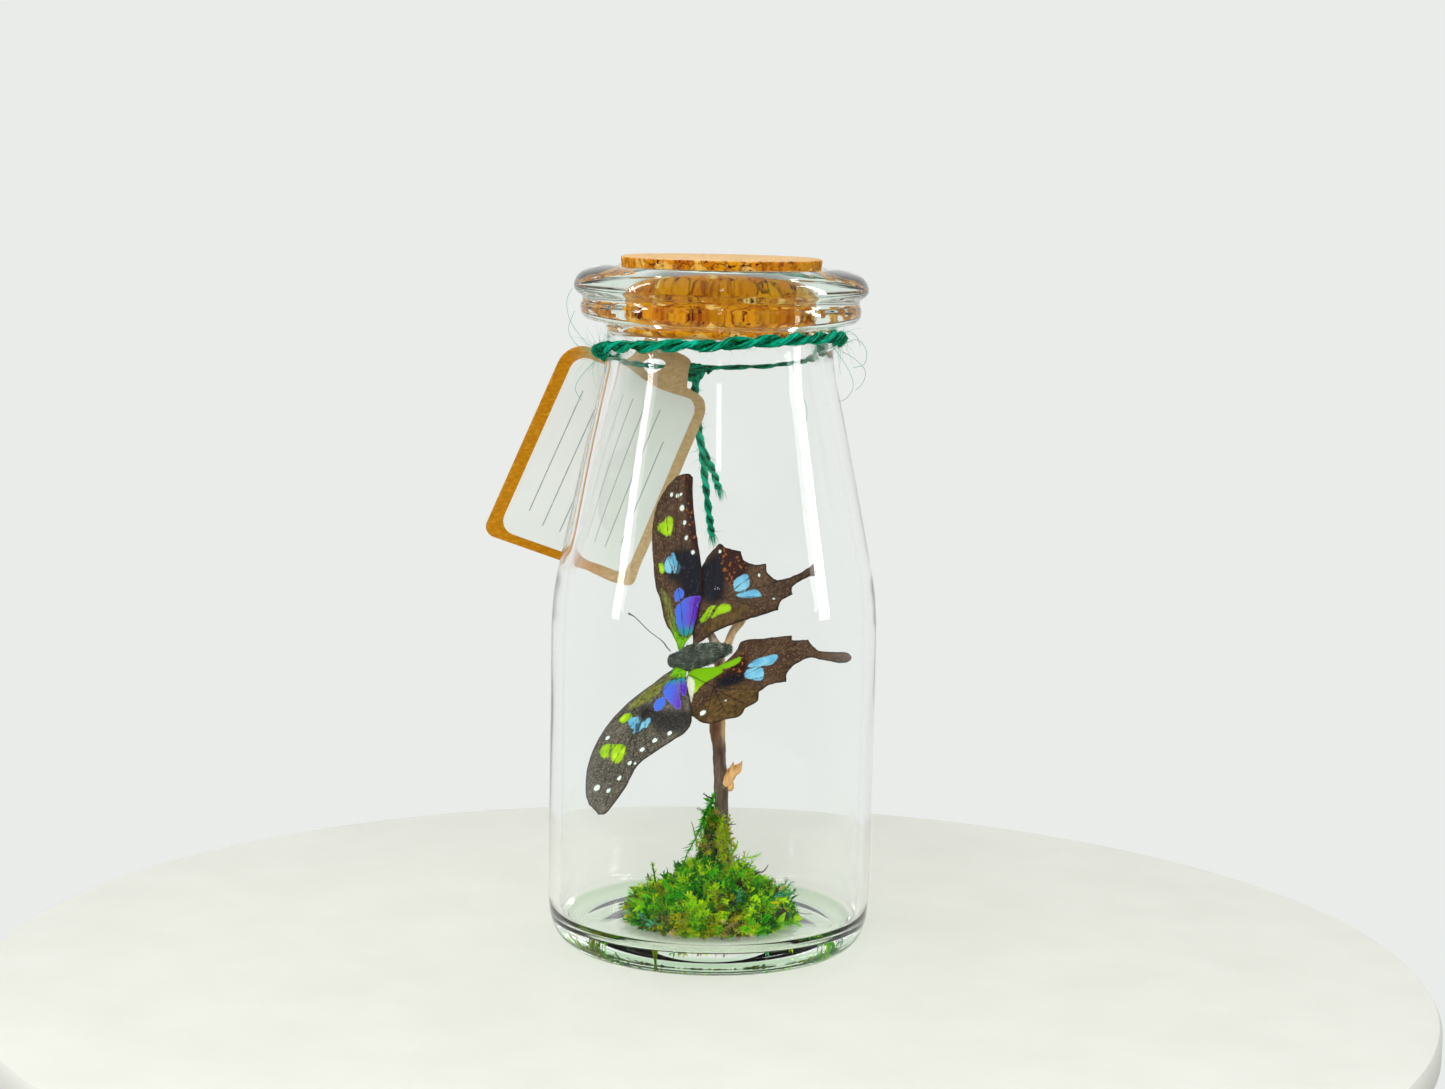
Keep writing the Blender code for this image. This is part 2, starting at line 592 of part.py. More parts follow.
def camber(out):
    return CAMBER * math.sin(math.pi * min(1.0, max(0.0, out / CAMBER_SPAN)))


def make_wing(name, runs, side, layer, finish, home):
    outline = []
    for run in runs:
        outline += smooth([(*p, 0) for p in run], 2)[:-1]
    flat = plate(name, [(p.x, p.y) for p in outline], WING_THICKNESS, finish, home)
    shape = bmesh.new()
    shape.from_mesh(flat.data)
    for axis in ((1, 0, 0), (0, 1, 0)):
        for k in GRID_CUTS:
            bmesh.ops.bisect_plane(
                shape,
                geom=shape.verts[:] + shape.edges[:] + shape.faces[:],
                dist=0.000001,
                plane_co=Vector(axis) * k * GRID * MM,
                plane_no=axis,
            )
    root, out, ahead, up = wing_frame(side)
    for v in shape.verts:
        x, y, z = v.co / MM
        z += layer * WING_STEP + camber(x)
        v.co = (root + out * x + ahead * y + up * z) * MM
    shape.normal_update()
    bmesh.ops.recalc_face_normals(shape, faces=shape.faces)
    shape.to_mesh(flat.data)
    shape.free()
    flat.matrix_world = Matrix.Identity(4)


def main():
    clear_scene()
    home = new_collection("butterfly_bottle")
    cutters = new_collection("cutters")
    finish = make_materials()
    make_bottle(finish["glass"], home)
    make_cork(finish["cork"], home)
    make_twine(finish["twine"], home, cutters)
    make_tail("twine_tail_long", LONG_TAIL, finish["twine"], home)
    make_tail("twine_tail_short", SHORT_TAIL, finish["twine"], home)
    make_tag(finish["card"], finish["paper"], home)
    make_twig(finish["bark"], home, cutters)
    moss = make_moss(finish["moss"], home, cutters)
    make_bark(finish["bark"], home, cutters, moss)
    make_trunk(finish["fur"], home)
    make_antenna(finish["fur"], home)
    make_legs(finish["fur"], home)
    make_wing("forewing_right", FOREWING_RIGHT, 1, 1, finish["wing"], home)
    make_wing("hindwing_right", HINDWING_RIGHT, 1, -1, finish["wing"], home)
    make_wing("forewing_left", FOREWING_LEFT, -1, 1, finish["wing"], home)
    make_wing("hindwing_left", HINDWING_LEFT, -1, -1, finish["wing"], home)


main()
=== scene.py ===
"""Looks for the mounted butterfly in its corked glass bottle.

Sizes are written in millimetres and become metres where a mesh is made. Places in shader nodes,
and the lamps, are in metres. The frame is the CAD's own: +Z is up the bottle, and the butterfly is
looked at along +Y.
"""

import math
import random

import bmesh
import bpy
import numpy as np
from mathutils import Matrix, Vector, geometry, noise


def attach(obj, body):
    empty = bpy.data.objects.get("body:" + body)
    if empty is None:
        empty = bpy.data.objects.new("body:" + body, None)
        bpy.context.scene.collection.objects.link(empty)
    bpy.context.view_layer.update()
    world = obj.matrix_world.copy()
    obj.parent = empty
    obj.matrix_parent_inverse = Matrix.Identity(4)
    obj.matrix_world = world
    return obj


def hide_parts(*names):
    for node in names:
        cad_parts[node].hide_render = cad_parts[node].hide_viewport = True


MM = 0.001
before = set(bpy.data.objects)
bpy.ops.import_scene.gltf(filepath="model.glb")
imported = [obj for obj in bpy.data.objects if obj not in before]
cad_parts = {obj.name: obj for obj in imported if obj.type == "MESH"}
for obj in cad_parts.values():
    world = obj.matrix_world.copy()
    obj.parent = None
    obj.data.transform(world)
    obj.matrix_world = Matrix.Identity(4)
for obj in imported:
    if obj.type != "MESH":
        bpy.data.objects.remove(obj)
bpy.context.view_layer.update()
scene = bpy.context.scene


# ---------------------------------------------------------------- camera
CAMERA_PLACE = (0.0, -553.4756, 152.2513)
CAMERA_AXES = (  # right, up and backward, as columns
    (0.99978181, -0.02075656, -0.00234558),
    (0.00038474, 0.13056864, -0.9914392),
    (0.02088513, 0.99122197, 0.13054813),
)
CAMERA_LENS, SENSOR_WIDTH = 71.01, 36.0


def add_camera():
    data = bpy.data.cameras.new("camera")
    data.sensor_width = SENSOR_WIDTH
    data.lens = CAMERA_LENS
    made = bpy.data.objects.new("camera", data)
    place = Matrix.Translation(Vector(CAMERA_PLACE) * MM)
    made.matrix_world = place @ Matrix(CAMERA_AXES).to_4x4()
    scene.collection.objects.link(made)
    scene.camera = made


# ---------------------------------------------------------------- materials
class Paint:
    """A material's nodes, one short call for each."""

    def __init__(self, name):
        self.material = bpy.data.materials.new(name)
        self.material.use_nodes = True
        self.tree = self.material.node_tree
        self.shader = self.tree.nodes["Principled BSDF"]
        self.output = self.tree.nodes["Material Output"]
        self.place = self.add("ShaderNodeTexCoord").outputs["Object"]

    def add(self, kind, **settings):
        node = self.tree.nodes.new(kind)
        for key, value in settings.items():
            setattr(node, key, value)
        return node

    def feed(self, socket, value):
        if isinstance(value, bpy.types.NodeSocket):
            self.tree.links.new(value, socket)
        elif isinstance(value, tuple) and len(value) == 3 and socket.type == "RGBA":
            socket.default_value = (*value, 1)
        else:
            socket.default_value = value

    def set(self, **values):
        for key, value in values.items():
            self.feed(self.shader.inputs[key.replace("_", " ")], value)

    def coat(self, colour, roughness, relief, gloss):
        """A dull surface: roughness is a band's values, and relief a bump's."""
        self.set(
            Base_Color=colour,
            Roughness=self.band(*roughness),
            Normal=self.bump(*relief),
            Specular_IOR_Level=gloss,
        )

    def texture(self, kind, where=None, settings=None, **numbers):
        """A node that is read at a place, which is the object's own unless another is given."""
        node = self.add(kind, **(settings or {}))
        for name, number in numbers.items():
            node.inputs[name].default_value = number
        self.feed(node.inputs["Vector"], where or self.place)
        return node

    def stretched(self, *scale):
        return self.texture("ShaderNodeMapping", Scale=scale).outputs["Vector"]

    def noise(self, scale, detail=3.0, where=None, rough=0.55):
        node = self.texture("ShaderNodeTexNoise", where, Scale=scale, Detail=detail, Roughness=rough)
        return node.outputs["Fac"]

    def cells(self, scale, where, feature="F1"):
        return self.texture("ShaderNodeTexVoronoi", where, {"feature": feature}, Scale=scale)

    def wave(self, scale, distortion):
        return self.texture("ShaderNodeTexWave", Scale=scale, Distortion=distortion).outputs["Fac"]

    def ramp(self, value, *stops):
        node = self.add("ShaderNodeValToRGB")
        line = node.color_ramp.elements
        while len(line) < len(stops):
            line.new(0.5)
        for element, (position, colour) in zip(line, stops):
            element.position = position
            element.color = (*colour, 1)
        self.feed(node.inputs["Fac"], value)
        return node.outputs["Color"]

    def band(self, value, low, high, bottom=0.0, top=1.0):
        """A smooth step: bottom below low, top above high."""
        node = self.add("ShaderNodeMapRange", interpolation_type="SMOOTHSTEP")
        for name, number in (("From Min", low), ("From Max", high), ("To Min", bottom), ("To Max", top)):
            node.inputs[name].default_value = number
        self.feed(node.inputs["Value"], value)
        return node.outputs["Result"]

    def mix(self, share, first, second, blend="MIX"):
        node = self.add("ShaderNodeMix", data_type="RGBA", blend_type=blend)
        self.feed(node.inputs[0], share)
        self.feed(node.inputs[6], first)
        self.feed(node.inputs[7], second)
        return node.outputs[2]

    def math(self, operation, first, second=0.0):
        node = self.add("ShaderNodeMath", operation=operation)
        self.feed(node.inputs[0], first)
        self.feed(node.inputs[1], second)
        return node.outputs[0]

    def plus(self, first, second):
        return self.math("ADD", first, second)

    def times(self, first, second):
        return self.math("MULTIPLY", first, second)

    def split(self, vector):
        node = self.add("ShaderNodeSeparateXYZ")
        self.feed(node.inputs[0], vector)
        return node.outputs

    def attribute(self, name):
        return self.add("ShaderNodeAttribute", attribute_name=name).outputs["Fac"]

    def bump(self, height, strength, distance):
        """A bump, with its distance in millimetres."""
        node = self.add("ShaderNodeBump")
        node.inputs["Strength"].default_value = strength
        node.inputs["Distance"].default_value = distance * MM
        self.feed(node.inputs["Height"], height)
        return node.outputs["Normal"]


def paint_glass():
    """Clear glass, greener in its lip and base. Lamps and soft light reach what is inside unbent."""
    p = Paint("bottle_glass")
    ripple = p.noise(38, 2.0, p.stretched(1, 1, 0.45))
    x, y, height = p.split(p.place)
    reach = p.math("SQRT", p.plus(p.times(x, x), p.times(y, y)))
    clear = p.ramp(p.noise(25, 1.0), (0.3, (0.982, 0.994, 0.985)), (0.7, (0.994, 1.0, 0.996)))
    lip = p.mix(p.band(height, 0.1215, 0.1235), clear, (0.88, 0.95, 0.88))
    lip = p.mix(p.band(height, 0.1276, 0.1290), lip, (0.80, 0.90, 0.82))
    foot = p.mix(p.band(reach, 0.024, 0.027), (0.80, 0.88, 0.76), (0.57, 0.77, 0.54))
    p.set(
        Base_Color=p.mix(p.band(height, 0.0036, 0.0052, 1.0, 0.0), lip, foot),
        Roughness=p.band(p.noise(60, 2.0), 0.4, 0.8, 0.0, 0.012),
        Normal=p.bump(ripple, 0.10, 1.2),
        IOR=1.5,
        Transmission_Weight=1.0,
        Specular_Tint=(0.2, 0.2, 0.2),
    )
    surface = p.shader.outputs[0]
    for ray in ("Is Diffuse Ray", "Is Shadow Ray"):
        passing = p.add("ShaderNodeBsdfTransparent")
        passing.inputs["Color"].default_value = (0.97, 0.985, 0.975, 1)
        both = p.add("ShaderNodeMixShader")
        p.feed(both.inputs[0], p.add("ShaderNodeLightPath").outputs[ray])
        p.feed(both.inputs[1], surface)
        p.feed(both.inputs[2], passing.outputs[0])
        surface = both.outputs[0]
    p.feed(p.output.inputs["Surface"], surface)


def paint_cork():
    """Pressed cork: orange granules of 2 to 4 mm with dark cracks and pits, and a paler cut top."""
    p = Paint("pressed_cork")
    wobble = p.texture("ShaderNodeTexNoise", Scale=420)
    small = p.add("ShaderNodeVectorMath", operation="SCALE")
    small.inputs["Scale"].default_value = 0.0024
    p.feed(small.inputs[0], wobble.outputs["Color"])
    bent = p.add("ShaderNodeVectorMath", operation="ADD")
    p.feed(bent.inputs[0], p.place)
    p.feed(bent.inputs[1], small.outputs[0])
    grain = p.cells(440, bent.outputs[0])
    edge = p.cells(440, bent.outputs[0], "DISTANCE_TO_EDGE").outputs["Distance"]
    tone = p.ramp(
        p.split(grain.outputs["Color"])[0],
        (0.0, (0.56, 0.16, 0.0)),
        (0.3, (0.68, 0.25, 0.001)),
        (0.75, (0.76, 0.33, 0.004)),
        (0.95, (0.88, 0.54, 0.14)),
    )
    fine = p.noise(1500, 4.0)
    tone = p.mix(p.band(fine, 0.46, 0.74, 0.0, 0.6), tone, (0.66, 0.34, 0.08), "MULTIPLY")
    cut = p.band(p.split(p.place)[2], 0.13505, 0.13535)
    tone = p.mix(p.times(cut, 0.8), tone, (0.88, 0.61, 0.32))
    crack = p.times(p.band(edge, 0.0, 0.07, 0.7, 0.0), p.band(p.noise(230, 2.0), 0.46, 0.60))
    cluster = p.band(p.noise(330, 3.0), 0.48, 0.60)
    pit = p.times(p.band(p.noise(1300, 2.0), 0.54, 0.62), cluster)
    dark = p.times(p.math("MAXIMUM", crack, pit), p.band(cut, 0.0, 1.0, 1.0, 0.3))
    blotch = p.band(p.noise(420, 5.0, rough=0.7), 0.53, 0.61)
    blotch = p.times(blotch, p.band(cut, 0.0, 1.0, 0.75, 0.15))
    colour = p.mix(dark, p.mix(blotch, tone, (0.30, 0.050, 0.0)), (0.10, 0.012, 0.001))
    relief = p.math("SUBTRACT", p.times(fine, 0.35), dark)
    p.coat(colour, (fine, 0.2, 0.8, 0.7, 0.95), (relief, 0.7, 0.4), 0.08)


def paint_twine(name, light):
    """Dyed jute: fibres and flecks, with painted shade in the grooves between plies and a painted highlight
    where the fibres stand up.
    """
    p = Paint(name)
    fibre = p.wave(1800, 6.0)
    fleck = p.noise(2600, 4.0)
    # the ramp's near-black end is painted shade in the grooves, and its pale end a painted highlight on the
    # crowns
    base = p.ramp(
        p.attribute("tone"),
        (0.0, (0.0, 0.018 * light, 0.006 * light)),
        (0.35, (0.0, 0.27 * light, 0.13 * light)),
        (1.0, (0.002, 0.60 * light, 0.38 * light)),
    )
    patch = p.band(p.noise(130, 2.0), 0.44, 0.62, 0.0, 0.6)
    base = p.mix(patch, base, (0.3, 0.60, 0.40), "MULTIPLY")
    colour = p.mix(p.band(fleck, 0.5, 0.8, 0.0, 0.45), base, (0.001, 0.50 * light, 0.27 * light))
    relief = p.plus(p.times(fibre, 0.4), fleck)
    p.coat(colour, (fleck, 0.3, 0.7, 0.75, 0.95), (relief, 0.5, 0.2), 0.05)


def paint_card():
    """Brown kraft card, flecked. Its front (tone 1) is painted paler where the bottle stands before it, a
    painted reflection of the bright glass over the card.
    """
    p = Paint("kraft_card")
    fleck = p.noise(900, 5.0, p.stretched(1, 1, 2.2))
    cloud = p.noise(90, 2.0)
    colour = p.ramp(
        fleck, (0.3, (0.44, 0.165, 0.002)), (0.55, (0.58, 0.235, 0.004)), (0.75, (0.70, 0.34, 0.03))
    )
    colour = p.mix(p.band(cloud, 0.35, 0.7, 0.0, 0.3), colour, (0.75, 0.62, 0.4), "MULTIPLY")
    # painted reflection: the card's front is paled where the glass stands before it
    painted_glare = p.times(p.attribute("tone"), p.band(p.split(p.place)[0], -0.031, -0.021, -0.3, 0.5))
    pale = p.ramp(fleck, (0.3, (0.52, 0.37, 0.19)), (0.7, (0.72, 0.55, 0.33)))
    colour = p.mix(p.plus(painted_glare, 0.3), colour, pale)
    p.coat(colour, (fleck, 0.3, 0.7, 0.75, 0.9), (fleck, 0.35, 0.12), 0.1)


def paint_paper():
    """White paper with a soft tooth."""
    p = Paint("label_paper")
    tooth = p.noise(1900, 4.0)
    colour = p.ramp(p.noise(70, 2.0), (0.3, (0.82, 0.84, 0.81)), (0.7, (0.86, 0.88, 0.85)))
    p.coat(colour, (tooth, 0.3, 0.7, 0.6, 0.75), (tooth, 0.2, 0.06), 0.25)


def paint_rules():
    """Faded grey printer's ink."""
    p = Paint("faded_ink")
    fade = p.noise(1400, 3.0)
    p.set(Base_Color=p.ramp(fade, (0.3, (0.30, 0.31, 0.31)), (0.8, (0.50, 0.51, 0.51))), Roughness=0.6)


def paint_bark():
    """Dark bark below, red-brown above with a tan strip on its right that is a painted highlight of the light
    from that side, and a bare pale tip.
    """
    p = Paint("twig_bark")
    x, _, z = p.split(p.place)
    fissure = p.noise(700, 5.0, p.stretched(1, 1, 0.22))
    cloud = p.noise(160, 3.0)

    def streaked(dark, mid, pale):
        return p.ramp(fissure, (0.3, dark), (0.6, mid), (0.8, pale))

    low = streaked((0.030, 0.022, 0.018), (0.16, 0.105, 0.075), (0.34, 0.25, 0.18))
    high = streaked((0.11, 0.035, 0.018), (0.33, 0.15, 0.08), (0.50, 0.28, 0.16))
    bare = streaked((0.30, 0.19, 0.14), (0.60, 0.45, 0.34), (0.74, 0.62, 0.50))
    colour = p.mix(p.band(p.plus(z, p.times(cloud, 0.012)), 0.041, 0.049), low, high)
    # the tan strip on the twig's right side is a painted highlight
    side = p.plus(x, p.times(cloud, 0.0012))
    strip = p.times(p.band(side, 0.0022, 0.0027), p.band(z, 0.037, 0.041))
    colour = p.mix(strip, colour, (0.70, 0.43, 0.22))
    colour = p.mix(p.band(z, 0.0535, 0.0565), colour, bare)
    lichen = p.times(p.band(p.noise(330, 3.0), 0.60, 0.68), p.band(z, 0.040, 0.046, 1.0, 0.0))
    colour = p.mix(lichen, colour, (0.25, 0.27, 0.18))
    p.coat(colour, (fissure, 0.2, 0.8, 0.95, 0.8), (fissure, 0.9, 0.5), 0.1)


def paint_bare_wood(name, dark, mid, pale):
    """Peeled wood with grain along it."""
    p = Paint(name)
    grain = p.noise(900, 4.0, p.stretched(1, 1, 0.25))
    colour = p.ramp(grain, (0.3, dark), (0.55, mid), (0.8, pale))
    p.coat(colour, (grain, 0.2, 0.8, 0.65, 0.9), (grain, 0.5, 0.25), 0.1)


def paint_crumb():
    """A crumb of dark rotten bark."""
    p = Paint("bark_crumb")
    grain = p.noise(1100, 5.0)
    colour = p.ramp(
        grain, (0.35, (0.012, 0.006, 0.004)), (0.6, (0.06, 0.028, 0.016)), (0.8, (0.20, 0.11, 0.06))
    )
    p.coat(colour, (grain, 0.2, 0.8, 0.95, 0.8), (grain, 1.0, 0.5), 0.1)


# Moss, fur and eyes: their dark, middle and pale tones, and then a roughness band and a gloss
# where those aren't the ones of leaves and hairs
TONED = {
    # moss_deep colours the mat: its own dark colour, darkened further as painted shade deep between the
    # leaves
    "moss_deep": ((0.002, 0.018, 0.0), (0.010, 0.055, 0.0), (0.06, 0.10, 0.0)),
    "moss_green": ((0.004, 0.11, 0.0), (0.022, 0.33, 0.0), (0.16, 0.64, 0.0)),
    "moss_dark": ((0.001, 0.03, 0.0), (0.005, 0.13, 0.0), (0.03, 0.30, 0.0)),
    "moss_lime": ((0.08, 0.28, 0.0), (0.26, 0.58, 0.0), (0.55, 0.84, 0.0)),
    "moss_olive": ((0.05, 0.08, 0.0), (0.20, 0.26, 0.0), (0.52, 0.52, 0.0)),
    "moss_brown": ((0.03, 0.015, 0.003), (0.20, 0.12, 0.006), (0.58, 0.42, 0.14)),
    "moss_teal": ((0.0, 0.07, 0.02), (0.004, 0.25, 0.08), (0.14, 0.50, 0.28)),
    "dark_fur": ((0.02, 0.024, 0.02), (0.06, 0.07, 0.06), (0.17, 0.19, 0.15)),
    "fur_hair": ((0.03, 0.036, 0.03), (0.14, 0.17, 0.14), (0.52, 0.60, 0.46)),
    "insect_eyes": ((0.008, 0.005, 0.004), (0.02, 0.012, 0.01), (0.06, 0.04, 0.03), (0.2, 0.4), 0.5),
}


def paint_toned(name, dark, mid, pale, roughness=(0.75, 0.95), gloss=0.02):
    """Moss or hair: each leaf or hair has its own tone, and it is flecked."""
    p = Paint(name)
    fleck = p.noise(1300, 3.0)
    drift = p.times(p.math("SUBTRACT", fleck, 0.5), 0.7)
    share = p.plus(p.attribute("tone"), drift)
    colour = p.ramp(share, (0.1, dark), (0.5, mid), (0.95, pale))
    p.coat(colour, (fleck, 0.2, 0.8, *roughness), (fleck, 0.4, 0.1), gloss)


def paint_wing(name, ground, speck, inked):
    """Scales on a dark ground. The mesh brings the markings' depths, and noise makes them powdery."""
    p = Paint(name)
    powder = p.noise(2600, 3.0)
    fine = p.noise(1000, 4.0)
    cloud = p.noise(170, 3.0)
    grains = p.plus(powder, p.times(fine, 0.35))
    shade = [tuple(v * k for v in ground) for k in (0.65, 1.0, 1.5)]
    colour = p.ramp(cloud, (0.3, shade[0]), (0.5, shade[1]), (0.7, shade[2]))
    colour = p.mix(p.band(grains, 0.68, 0.82, 0.0, 0.85), colour, speck)
    colour = p.mix(p.band(grains, 0.62, 0.50, 0.0, 0.6), colour, tuple(v * 0.3 for v in ground))

    def marked(under, key, tint, low, high, loose=0.5):
        drift = p.times(p.math("SUBTRACT", powder, 0.5), loose)
        return p.mix(p.band(p.plus(p.attribute(key), drift), low, high), under, tint)

    specks = p.band(p.noise(1300, 2.0), 0.57, 0.66)
    dots = p.band(p.noise(1500, 2.0), 0.60, 0.66)
    ink = p.mix(p.times(dots, 0.6), (0.0012, 0.0015, 0.006), (0.05, 0.045, 0.09))
    umber = p.ramp(fine, (0.35, (0.045, 0.024, 0.006)), (0.65, (0.15, 0.085, 0.025)))
    ember = p.mix(specks, (0.024, 0.005, 0.004), (0.40, 0.12, 0.012))
    olive = p.ramp(fine, (0.35, (0.085, 0.090, 0.012)), (0.65, (0.26, 0.27, 0.06)))
    colour = p.mix(inked, colour, marked(colour, "ink", ink, -1.6, 0.5, 2.2))
    colour = marked(colour, "umber", umber, -0.9, 0.9, 2.0)
    colour = marked(colour, "ember", ember, -0.9, 0.6, 1.8)
    colour = marked(colour, "olive", olive, -0.5, 0.5, 1.2)
    rim = p.band(p.attribute("rim"), 0.0, 0.6, 0.7, 0.0)
    colour = p.mix(rim, colour, (0.016, 0.010, 0.008))

    out = p.attribute("out")
    turn = p.plus(p.plus(p.attribute("ahead"), p.times(out, 0.15)), p.times(fine, 1.4))
    violet = p.ramp(
        p.band(turn, -3.2, 4.4),
        (0.10, (0.09, 0.014, 0.46)),
        (0.40, (0.15, 0.070, 0.56)),
        (0.62, (0.09, 0.12, 0.70)),
        (0.92, (0.06, 0.17, 0.80)),
    )
    violet = p.mix(p.band(p.attribute("violet"), 0.0, 0.30, 0.45, 0.0), violet, (0.26, 0.24, 0.84))
    violet = p.mix(p.band(p.plus(out, fine), 5.0, 2.4), violet, (0.015, 0.30, 0.30))
    leaf = p.mix(p.band(fine, 0.35, 0.65), (0.10, 0.36, 0.002), (0.22, 0.56, 0.01))
    sky = p.ramp(p.noise(420, 2.0), (0.35, (0.12, 0.42, 0.68)), (0.65, (0.26, 0.62, 0.80)))
    lime = p.ramp(p.noise(380, 2.0), (0.3, (0.25, 0.50, 0.0)), (0.7, (0.52, 0.80, 0.02)))
    lime = p.mix(p.band(p.plus(out, p.times(fine, 3.0)), 7.5, 4.5), lime, (0.20, 0.50, 0.0))
    lime = p.mix(p.band(p.attribute("lime"), 0.0, 0.5, 0.45, 0.0), lime, (0.16, 0.30, 0.0))
    colour = marked(colour, "leaf", leaf, -0.5, 0.5, 1.0)
    colour = marked(colour, "violet", violet, -0.14, 0.14)
    colour = marked(colour, "blue", sky, -0.12, 0.12)
    colour = marked(colour, "lime", lime, -0.12, 0.12)
    colour = marked(colour, "cream", (0.82, 0.82, 0.62), -0.2, 0.15)
    colour = marked(colour, "white", (0.84, 0.95, 0.88), -0.22, -0.02, 0.3)

    line = p.band(p.attribute("vein"), 0.05, 0.24, 0.85, 0.0)
    colour = p.mix(line, colour, (0.010, 0.006, 0.006))
    under = p.ramp(cloud, (0.3, (0.09, 0.045, 0.025)), (0.7, (0.22, 0.12, 0.07)))
    colour = p.mix(p.band(p.attribute("upper"), 0.4, 0.6), p.mix(0.35, under, colour), colour)
    relief = p.plus(fine, p.times(powder, 0.5))
    p.coat(colour, (powder, 0.2, 0.8, 0.42, 0.62), (relief, 0.30, 0.10), 0.03)


# ---------------------------------------------------------------- meshes
def clamp(value):
    return min(1.0, max(0.0, value))


def ramp(value, start, end):
    """A smooth step from 0 at the start to 1 at the end."""
    t = clamp((value - start) / (end - start))
    return t * t * (3 - 2 * t)


def add_piece(name, data, material, slot, *nodes):
    """Puts a mesh in the scene as a piece of the root body, standing for the named CAD nodes."""
    made = bpy.data.objects.new(name, data)
    data.materials.append(bpy.data.materials[material])
    scene.collection.objects.link(made)
    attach(made, "root")
    if nodes:
        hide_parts(*nodes)
    return made


def add_layer(data, key, values):
    """A number for each corner of a mesh, for its material to read."""
    data.attributes.new(key, "FLOAT", "POINT").data.foreach_set("value", np.asarray(values, np.float32))


def mesh_from(name, corners, faces, sharp_angle=None, tones=None, closed=False):
    """A mesh in metres from corners in millimetres, smooth but for edges sharper than an angle.

    Angle 0 leaves every face flat. A closed mesh gets its faces turned outward.
    """
    data = bpy.data.meshes.new(name)
    data.from_pydata((np.array([tuple(c) for c in corners], float) * MM).tolist(), [], faces)
    data.update()
    if closed:
        shape = bmesh.new()
        shape.from_mesh(data)
        bmesh.ops.recalc_face_normals(shape, faces=shape.faces)
        shape.to_mesh(data)
        shape.free()
    if tones is not None:
        add_layer(data, "tone", tones)
    if sharp_angle != 0:
        data.shade_smooth()
    if sharp_angle:
        data.set_sharp_from_angle(angle=math.radians(sharp_angle))
    return data


def balls_to_piece(shape, name, material, slot, *nodes):
    """Puts rounded lumps, made with bmesh in millimetres, in the scene as one piece."""
    data = bpy.data.meshes.new(name)
    shape.to_mesh(data)
    shape.free()
    data.transform(Matrix.Scale(MM, 4))
    data.shade_smooth()
    add_piece(name, data, material, slot, *nodes)


def smooth(run, per_span):
    """Points on a Catmull-Rom curve through a run of points."""
    line = [Vector(p) for p in run]
    line = [2 * line[0] - line[1]] + line + [2 * line[-1] - line[-2]]
    found = []
    for a, b, c, d in zip(line, line[1:], line[2:], line[3:]):
        for k in range(per_span):
            t = k / per_span
            cubic = (3 * b - a - 3 * c + d) * t**3
            found.append(0.5 * (2 * b + (c - a) * t + (2 * a - 5 * b + 4 * c - d) * t**2 + cubic))
    return found + [line[-2]]


def smooth_flat(run, per_span):
    return [(v.x, v.y) for v in smooth([(*p, 0) for p in run], per_span)]


def smooth_values(values, per_span):
    return [v.x for v in smooth([(value, 0, 0) for value in values], per_span)]


def frames_along(path):
    """For each point of a path, (along, side, rise), turning as little as possible."""
    found = []
    side = None
    for before, after in zip(path[:1] + path, path[1:] + path[-1:]):
        along = (after - before).normalized()
        if side is None:
            side = along.cross(Vector((0, 0, 1)))
            side = side if side.length > 0.1 else along.cross(Vector((1, 0, 0)))
        side = (side - along * side.dot(along)).normalized()
        found.append((along, side, side.cross(along)))
    return found


def around(side, rise, angle):
    """The way out from a path at an angle round it."""
    return side * math.cos(angle) + rise * math.sin(angle)


def any_way(rng, reach=1.0):
    return Vector([rng.uniform(-reach, reach) for _ in range(3)])


